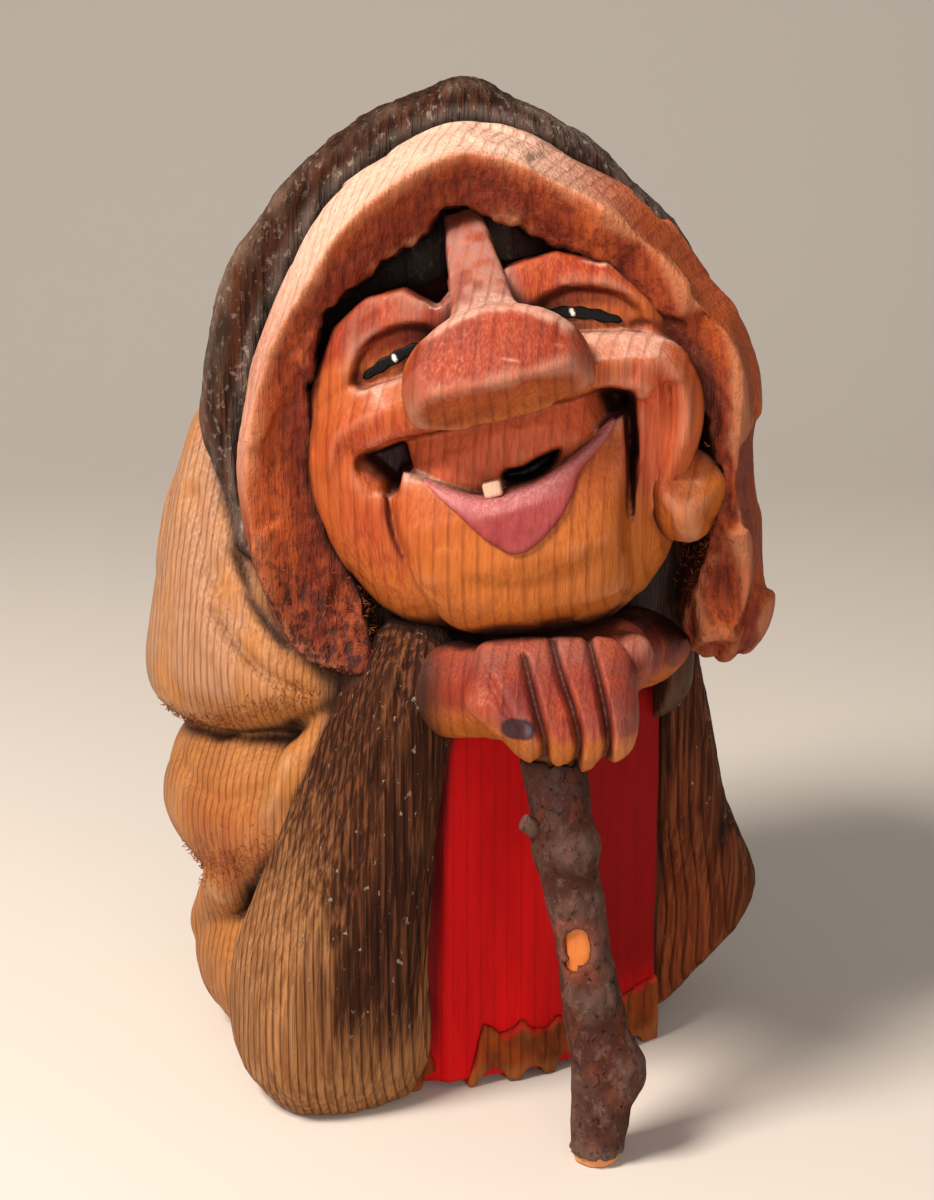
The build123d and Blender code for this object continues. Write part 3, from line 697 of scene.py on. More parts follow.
# The twig is whittled to a peg where it enters the fist.
stick = {
    "route": [(17.8, -52.6, -8, 3.8), (18.9, -51.6, 5, 4.0), (19.5, -51.1, 12, 4.5), (18.2, -50.2, 21, 4.3),
              (16.4, -49.3, 31, 3.8), (15.0, -48.6, 39, 4.1), (13.9, -48.0, 45, 4.4),
              (12.0, -46.4, 58.9, 4.4), (11.9, -46.3, 59.8, 3.3), (10.75, -45.4, 68, 3.25)],
    "bark": 0.8, "barkTop": 58.8,
    "knots": [((21.9, -51.4, 13.5), (3.6, 3.8, 4.8)), ((14.2, -49.4, 46.5), (4.2, 4.2, 3.6)),
              ((17.9, -51.0, 24.5), (3.2, 3.6, 3.0))],
    "chips": [((15.2, -53.4, 32.6), (2.4, 2.6, 2.9)), ((14.0, -53.0, 29.6), (1.5, 2.0, 1.0))],
    "stub": ((13.2, -48.6, 46.5), (7.2, -50.2, 50.8), 1.8, 1.1),
    "stubCut": ((7.7, -50.0, 50.4), (-0.81, -0.2, 0.55)),
}


def stickTube(x, y, z, inset):
    tube = None
    for a, b in zip(stick["route"][:-1], stick["route"][1:]):
        piece = rod(x, y, z, a[:3], b[:3], a[3] - inset, b[3] - inset)
        tube = piece if tube is None else smoothMin(tube, piece, 0.4)
    end, start = (np.array(stick["route"][i][:3]) for i in (-1, -2))
    return np.maximum(tube, tilted(x, y, z, end, (end - start) / np.linalg.norm(end - start)))


def stickWoodField(x, y, z):
    inset = stick["bark"] * ramp(59.7, 58.7, z)
    return np.maximum(stickTube(x, y, z, inset - 0.05), -z)


def stickBarkField(x, y, z):
    bark = stickTube(x, y, z, 0.0)
    for centre, radii in stick["knots"]:
        bark = smoothMin(bark, egg(x, y, z, centre, radii), 2.0)
    ragged = 0.35 * np.sin(x * 2.1) + 0.25 * np.sin(x * 3.7 + y)
    bark = meet(bark, 1.4 - z + 0.4 * ragged, z - stick["barkTop"] - ragged)
    chips = np.minimum(*[egg(x, y, z, *chip) for chip in stick["chips"]])
    bark = smoothMax(bark, -chips, 0.3)
    return np.maximum(bark, -stickTube(x, y, z, stick["bark"]))


def stubField(x, y, z):
    stub = smoothMax(rod(x, y, z, *stick["stub"]), tilted(x, y, z, *stick["stubCut"]), 0.3)
    return np.maximum(stub, -stickTube(x, y, z, 0.3))


# Knife marks, tear-out and bark: how far the surface stands off, in millimetres.
# The numbers given to lumps and knifeCuts are the cell's size, a seed and how sharp the ridges are.
def faceCuts(p, n):
    return 0.32 * knifeCuts(p, (6, 6, 8), 11, 22) + 0.04 * lumps(p, (1.1, 1.1, 7), 12)


def kerchiefCuts(p, n):
    torn = ramp(6, 0.5, outline(kerchief["opening"], p[:, 0], p[:, 2])) * ramp(0.35, 0.0, n[:, 2])
    depth = 0.8 + 0.4 * ramp(0, 22, p[:, 0])  # rougher on the figure's left
    smooth = depth * knifeCuts(p, (8, 8, 11), 21, 34) + 0.06 * lumps(p, (1.2, 1.2, 7), 22)
    torn = np.maximum(torn, 1.6 * spot(p[:, 0], p[:, 2], (-15, 72), (9, 9)))
    return smooth + torn * (0.30 * lumps(p, (1.3, 1.3, 1.6), 23) + 0.16 * lumps(p, (0.7, 0.7, 0.9), 24) - 0.1)


def barkFurrows(p, n):
    x, y, z = p.T
    cut = hood["furrows"]
    wander = 0.5 * lumps(p, (9, 9, 14), 34)
    deep = np.zeros(len(p))
    for row in range(cut["back"]):
        across = (row - (cut["back"] - 1) / 2) * cut["pitch"]
        groove = np.exp(-((x - across + wander) / cut["half"]) ** 2)
        deep = np.maximum(deep, groove * ramp(cut["backFrom"] - 1, cut["backFrom"] + 1, y))
    for row in range(cut["sides"]):
        behind = cut["sideFrom"] + row * cut["pitch"]
        groove = np.exp(-((y - behind + wander) / cut["half"]) ** 2)
        deep = np.maximum(deep, groove * ramp(cut["sideTop"] + 1, cut["sideTop"] - 1, z))
    ridges = 0.9 - 2.2 * np.abs(lumps(p, (2.4, 2.4, 15), 31))
    rough = 0.30 * ridges + 0.22 * lumps(p, (5, 5, 7), 32) + 0.16 * lumps(p, (1.0, 1.0, 1.8), 33)
    return rough - cut["depth"] * deep


def cloakCuts(p, n):
    off = 0.60 * knifeCuts(p, (9, 9, 13), 41, 18) + 0.06 * lumps(p, (1.2, 1.2, 14), 42)
    seen = ramp(0.2, -0.2, n[:, 1]) * ramp(-14, -20, p[:, 0])
    for line, depth, half in cloak["creases"]:
        d = along(line, p[:, 0], p[:, 2])[0]
        off = off - depth * seen * np.exp(-(d / half) ** 2)
    return off


def sleeveCuts(p, n):
    flutes = 0.12 * lumps(p, (1.0, 1.0, 24), 51) + 0.08 * lumps(p, (0.8, 0.8, 2.5), 52)
    return flutes + 0.55 * knifeCuts(p, (8, 8, 18), 53)


def apronCuts(p, n):
    return 0.26 * knifeCuts(p, (5.5, 5.5, 16), 61) + 0.05 * lumps(p, (1.1, 1.1, 9), 62)


def hemCuts(p, n):
    return 0.22 * lumps(p, (1.4, 1.4, 3.5), 63) + 0.10 * lumps(p, (0.8, 0.8, 1.2), 64)


def twigCuts(p, n):
    return 0.30 * lumps(p, (2.4, 2.4, 3.2), 71) + 0.16 * lumps(p, (0.9, 0.9, 1.3), 72)


def plainCuts(p, n):
    return 0.06 * lumps(p, (1.2, 1.2, 2), 81)


# Where stain, paint, wear, painted light and painted shade lie on each piece, 0 to 1.
def faceMarks(p, n):
    u, v, w = toFace(*p.T)
    cheeks = np.maximum(spot(u, v, (-19, 2), (8, 4)), spot(u, v, (20, 0), (6, 6)))
    brows = ramp(12, 15, v) * ramp(9, 6, w)
    jowls = 0.7 * spot(u, v, (-22, -12), (6, 9)) + 0.8 * spot(u, v, (18, -9), (5, 8))
    inMouth = np.clip(-readMap(mouthEdge, u, v) / 0.8, 0, 1)
    muzzle = 0.85 * inMouth
    tip = ramp(14, 17, w) * ramp(1, 7, v)
    fold = 0.8 * spot(u, v, (20, -6), (4.5, 8)) * ramp(12, 9, w)
    under = ramp(5.8, 4.6, v) * ramp(13, 15, w) * ramp(0, 1, v)
    bridge = ramp(14.5, 17, v) * ramp(6.5, 4, np.abs(u - 0.5)) * ramp(-2, 3, w)
    rubbed = bridge * ramp(-0.15, 0.45, lumps(p, (1.6, 1.6, 4), 96))
    return {
        "blush": np.clip(np.maximum.reduce([cheeks, brows, jowls, 0.6 * muzzle, tip]), 0, 1),
        "bare": np.clip(ramp(-9, -17, v) + under, 0, 1),
        # painted highlight: the faces turned up are painted pale, below the brows
        "paintedHighlight": ramp(0.62, 0.9, n[:, 2]) * ramp(20, 17, v),
        "wash": np.maximum.reduce([0.6 * ramp(13, 15, w) * ramp(0.85, 0.6, n[:, 2]) * ramp(0, 2, v),
                                   0.8 * brows * ramp(2, -4, u), rubbed]),
        # painted light: a lighter orange inside the mouth right of its left corner and on the right jowl fold
        "bevel": np.maximum(muzzle * ramp(-14, -11, u), fold),
        # less of the painted shade in hollows inside the mouth
        "inside": 0.95 * inMouth * ramp(12.6, 11.6, w) * ramp(-1, 2.5, w),
        "ash": bridge * (1 - 0.8 * rubbed),
        # painted shade: the mouth slit is painted black
        "paintedSlitShade": np.clip(-readMap(slitEdge, u, v) / 0.3, 0, 1) * ramp(9.6, 8.6, w),
    }


def handMarks(p, n):
    x, y, z = p.T
    up = ramp(-0.5, 0.35, n[:, 2])
    low = ramp(64.5, 60.5, z)
    wash = 0.85 * ramp(-0.45, 0.25, n[:, 2] + 0.12 * (z - 64))
    groove = np.zeros(len(p))
    for line in hand["grooves"][:3]:
        groove = np.maximum(groove, ramp(0.9, 0.25, along(line, x, z)[0]) * ramp(-39, -42, y))
    nail = spot(x, z, hand["nail"], (2.7, 1.8)) * ramp(-42, -46, y)
    return {
        "blush": np.clip(0.25 + 0.75 * up - 0.5 * low, 0, 1),
        "bare": np.clip((1 - up) * 0.8 + 0.7 * low, 0, 1),
        # painted highlight on the top of the fist
        "paintedHighlight": 0.2 * ramp(70, 75, z),
        "plum": 0.7 * ramp(62, 66, z) * ramp(75, 71, z) * ramp(-2, 3, x),
        # painted shade on the forearm where it runs back towards the sleeve
        "paintedShade": ramp(-1.5, -6.5, x),
        "wash": wash,
        # painted shade in the finger grooves
        "groove": groove,
        "knot": ramp(0.35, 0.6, nail),
        "glint": ramp(0.55, 0.9, nail) * ramp(7.6, 8.4, x),
        # how much of the wear and painted highlight on edges shows on the hands
        "wearAndHighlight": 0.35,
    }


def lipMarks(p, n):
    u, v = toFace(*p.T)[:2]
    # painted sheen: pale on the lip's upper left and on its faces turned up
    return {"paintedHighlight": np.maximum(spot(u, v, (-6.5, -7.0), (6, 2.6)), 0.7 * ramp(0.45, 0.8, n[:, 2]))}


def apronMarks(p, n):
    # painted shadow of the fist and stick on the apron's right side
    return {"paintedShade": ramp(12, 17, p[:, 0]) * ramp(4, 16, p[:, 2])}


def eyeMarks(p, n):
    u, v = toFace(*p.T)[:2]
    left, right = (spot(u, v, flow(line)[i], (0.35, 0.75)) for line, i in zip(face["eyes"], face["glints"]))
    return {"glint": ramp(0.45, 0.7, np.maximum(left, right))}


def kerchiefMarks(p, n):
    x, y, z = p.T
    gap = outline(kerchief["opening"], x, z)
    rim = ramp(12, 1.5, gap) * ramp(0.5, 0.1, n[:, 2])
    low = ramp(84, 70, z)
    fuzz = spot(x, z, (-15, 74), (6, 7)) * ramp(0.6, 0.1, n[:, 2])
    fuzz = np.maximum(fuzz, 0.6 * spot(x, z, (33.5, 88), (3.5, 10)))
    outer, wide = -outline(kerchief["outer"], x, z), bevelWidth(x, z)
    high = 0.5 * ramp(84, 104, z) + 0.5 * ramp(110, 130, z)
    return {
        # stain low down and by the opening, where it also paints shade on the inner facet and wall
        "stain": np.clip(rim + 0.7 * low, 0, 1),
        "fuzz": fuzz,
        # painted highlight: the top-left bevel painted pale where the lamp catches it
        "bevel": ramp(wide + 0.6, wide - 0.4, outer) * high * ramp(26, 4, x),
        # painted shade on the lower left end, beside the sleeve
        "paintedShade": ramp(86, 70, z + 0.6 * x + 12) * ramp(0, -10, x),
    }


def hoodMarks(p, n):
    x, y, z = p.T
    s = outline(kerchief["outer"], x, z)
    recess = ramp(-3, -7, s) * ramp(-0.4, -0.8, n[:, 1]) * ramp(1, 6, x)
    crown = ramp(2, 14, x) * ramp(0.2, 0.7, n[:, 2])
    flank = 0.8 * ramp(-0.6, -0.95, n[:, 0]) * ramp(0, -8, y)
    return {
        "rust": recess,
        "inside": 0.75 * recess,
        "peel": ramp(3.0, 0.3, s) * ramp(-8, -14, y) * ramp(20, 0, x),
        # crown: grey weathered bark on top; flank: faces turned to the left painted pale as painted light
        "pale": np.maximum(crown, flank),
    }


def cloakMarks(p, n):
    x, y, z = p.T
    front = ramp(0.4, 0.0, n[:, 1]) * ramp(-12, -18, x)
    crease = np.zeros(len(p))
    for line, half in cloak["torn"]:
        crease = np.maximum(crease, np.exp(-(along(line, x, z)[0] / half) ** 2))
    under = np.maximum(ramp(52, 60, z) * ramp(14, 4, y), ramp(4, -4, y))  # shade below the kerchief and chin
    return {
        # painted shade below the kerchief and chin, and on the front beside the apron
        "paintedShade": ramp(2, 12, x) * under,
        # painted sheen on the upper left of the hump
        "pale": ramp(-24, -36, x) * ramp(56, 64, z) * ramp(0.7, 0.2, n[:, 1]),
        "fuzz": crease * front,
        "rust": 0.8 * spot(x, z, (-36, 36), (8, 8)) * front,
    }


def rightSleeveMarks(p, n):
    wide = 0.6 * ramp(20, 48, p[:, 2]) + 0.8 * ramp(46, 64, p[:, 2])
    low, high = rightSleeve["darkFrom"] - wide, rightSleeve["darkTo"] + wide
    ragged = acrossRightSleeve(*p.T) + 0.10 * lumps(p, (1.2, 1.2, 6), 95)
    band = ramp(low - 0.42, low + 0.42, ragged) * ramp(high + 0.15, high - 0.1, ragged)
    return {"dark": band * ramp(7, 22, p[:, 2] + 3 * lumps(p, (3, 3, 9), 91))}


def leftSleeveMarks(p, n):
    t = toTrunk(p[:, 0], p[:, 1])[0]
    high = ramp(22, 46, p[:, 2] + 9 * lumps(p, (5, 5, 10), 92))
    outer = ramp(32, 40, t + 3 * lumps(p, (3, 3, 6), 93))
    return {"dark": np.clip(0.7 * high + 0.5 * outer, 0, 0.9), "warm": np.full(len(p), 0.9)}


def twigMarks(p, n):
    centre, radii = (np.array(row) for row in stick["chips"][0])
    rim = ramp(2.0, 1.2, np.linalg.norm((p - centre) / radii, axis=1))  # round the chip
    # the stick darkens up towards the fist as painted shade; warm rings the chip
    return {"warm": rim, "paintedShade": ramp(44, 58, p[:, 2])}


def pegMarks(p, n):
    # painted shade where the peg goes into the fist
    return {"paintedShade": ramp(55.5, 58, p[:, 2])}


def hemMarks(p, n):
    t = toTrunk(p[:, 0], p[:, 1])[0]
    top = readApron("tongues", t)
    return {"paint": ramp(-1.2, 0.2, p[:, 2] - top + 0.8 * lumps(p, (1.5, 1.5, 1.5), 94))}


figure, twig = "figure", "stick"
cutList = [  # piece, field, low and high corner, voxel, body, node, slot, finish, knife marks, stain and painted light
    ("faceCarving", headField, (-30, -60, 70), (40, 2, 138), 0.45, figure, "head", "flushed_pine",
     "flushedPine", faceCuts, faceMarks),
    ("noseCarving", noseField, (-14, -62, 98), (24, -18, 140), 0.4, figure, "nose", "flushed_pine",
     "flushedPine", faceCuts, faceMarks),
    ("lowerLip", lipField, (-12, -52, 78), (24, -30, 106), 0.25, figure, "lower_lip", "pink_paint",
     "lipPaint", plainCuts, lipMarks),
    ("toothPeg", toothField, (-2, -48, 90), (8, -32, 102), 0.25, figure, "tooth", "bare_tooth", "bareTooth",
     plainCuts, None),
    ("leftEar", earField, (14, -46, 78), (42, -16, 108), 0.45, figure, "left_ear", "flushed_pine",
     "flushedPine", faceCuts, faceMarks),
    ("eyeDots", eyesField, (-18, -44, 106), (28, -26, 126), 0.25, figure, "eyes", "black_paint", "eyePaint",
     plainCuts, eyeMarks),
    ("kerchiefCarving", kerchiefField, (-36, -36, 62), (48, -13, 146), 0.5, figure, "kerchief", "bare_pine",
     "knifeCutPine", kerchiefCuts, kerchiefMarks),
    ("hoodBack", hoodField, (-42, -19, 76), (42, 37, 152), 0.6, figure, "hood_back", "log_bark", "logBark",
     barkFurrows, hoodMarks),
    ("cloakCarving", cloakField, (-55, -34, -2), (35, 44, 100), 0.7, figure, "cloak", "stained_pine",
     "stainedPine", cloakCuts, cloakMarks),
    ("rightSleeve", rightSleeveField, (-40, -44, -2), (6, 4, 77), 0.5, figure, "right_sleeve", "dark_stain",
     "darkStainedPine", sleeveCuts, rightSleeveMarks),
    ("leftSleeve", leftSleeveField, (12, -22, 0), (50, 20, 69), 0.5, figure, "left_sleeve", "dark_stain",
     "darkStainedPine", sleeveCuts, leftSleeveMarks),
    ("apronPanel", apronField, (-14, -36, -2), (36, -2, 66), 0.5, figure, "apron", "red_paint", "apronPaint",
     apronCuts, apronMarks),
    ("skirtHem", hemField, (-14, -36, -2), (36, -2, 14), 0.4, figure, "skirt_hem", "hem_stain", "hemStain",
     hemCuts, hemMarks),
    ("rightForearm", rightArmField, (-21, -52, 54), (16, -20, 78), 0.5, figure, "right_forearm",
     "flushed_pine", "flushedPine", faceCuts, handMarks),
    ("leftForearm", leftArmField, (8, -42, 56), (38, -2, 78), 0.5, figure, "left_forearm", "flushed_pine",
     "flushedPine", faceCuts, handMarks),
    ("rightHand", fistField, (-4, -56, 52), (28, -30, 80), 0.25, figure, "right_hand", "flushed_pine",
     "flushedPine", plainCuts, handMarks),
    ("leftHand", leftHandField, (4, -46, 60), (30, -26, 78), 0.5, figure, "left_hand", "flushed_pine",
     "flushedPine", plainCuts, handMarks),
    ("stickWood", stickWoodField, (4, -60, -2), (30, -38, 72), 0.4, twig, "stick_wood", "twig_wood",
     "twigWood", plainCuts, pegMarks),
    ("stickBark", stickBarkField, (4, -60, -2), (30, -38, 72), 0.35, twig, "stick_bark", "twig_bark",
     "twigBark", twigCuts, twigMarks),
    ("twigStub", stubField, (3, -56, 42), (18, -44, 56), 0.25, twig, "twig_stub", "twig_bark", "twigBark",
     plainCuts, None),
]
pieces = []
for name, field, low, high, step, body, node, slot, finish, cuts, marks in cutList:
    points, quads = carve(name, field, low, high, step)
    points = eased(points, quads)
    normals = normalsOf(points, quads)
    points = points + normals * cuts(points, normals)[:, None]
    points[:, 2] = np.maximum(points[:, 2], 0.0)  # it stands on the floor
    pieces.append({"name": name, "points": points, "quads": quads, "body": body, "node": node, "slot": slot,
                   "finish": finish, "marks": marks})
# how the share of wood close by and further out turns to painted shade in hollows and deep recesses, and pale
# edges
shade = {"closeBlur": 2, "wideBlur": 6, "closeReach": 2.5, "wideReach": 6.0, "hollow": (0.20, 0.52),
         "edge": (0.43, 0.27), "deep": (0.30, 0.66)}
closeWood, wideWood = blurred(wood, shade["closeBlur"]), blurred(wood, shade["wideBlur"])
print("knife marks cut on", len(pieces), "pieces")


def toLinear(hexText):
    parts = [int(hexText[i:i + 2], 16) / 255 for i in (1, 3, 5)]
    return tuple(c / 12.92 if c <= 0.04045 else ((c + 0.055) / 1.055) ** 2.4 for c in parts) + (1.0,)


def addNode(tree, kind, settings=None, links=None):
    made = tree.nodes.new(kind)
    for key, value in (settings or {}).items():
        if isinstance(key, int) or key in made.inputs:
            made.inputs[key].default_value = value
        else:
            setattr(made, key, value)
    for key, source in (links or {}).items():
        tree.links.new(source, made.inputs[key])
    return made


def sums(tree, kind, *values, clamp=False):  # of numbers and of what other nodes give
    made = addNode(tree, "ShaderNodeMath", {"operation": kind, "use_clamp": clamp})
    for slot, value in zip(made.inputs, values):
        if isinstance(value, bpy.types.NodeSocket):
            tree.links.new(value, slot)
        else:
            slot.default_value = value
    return made.outputs[0]


pith = (0.130, -0.065)  # heart of the log, out to the side, so the rings run as upright lines in front
growth = {"taper": 0.12, "waver": 1.6, "detail": 2.0, "detailScale": 0.2, "lineFrom": 0.62, "lineTo": 0.98}
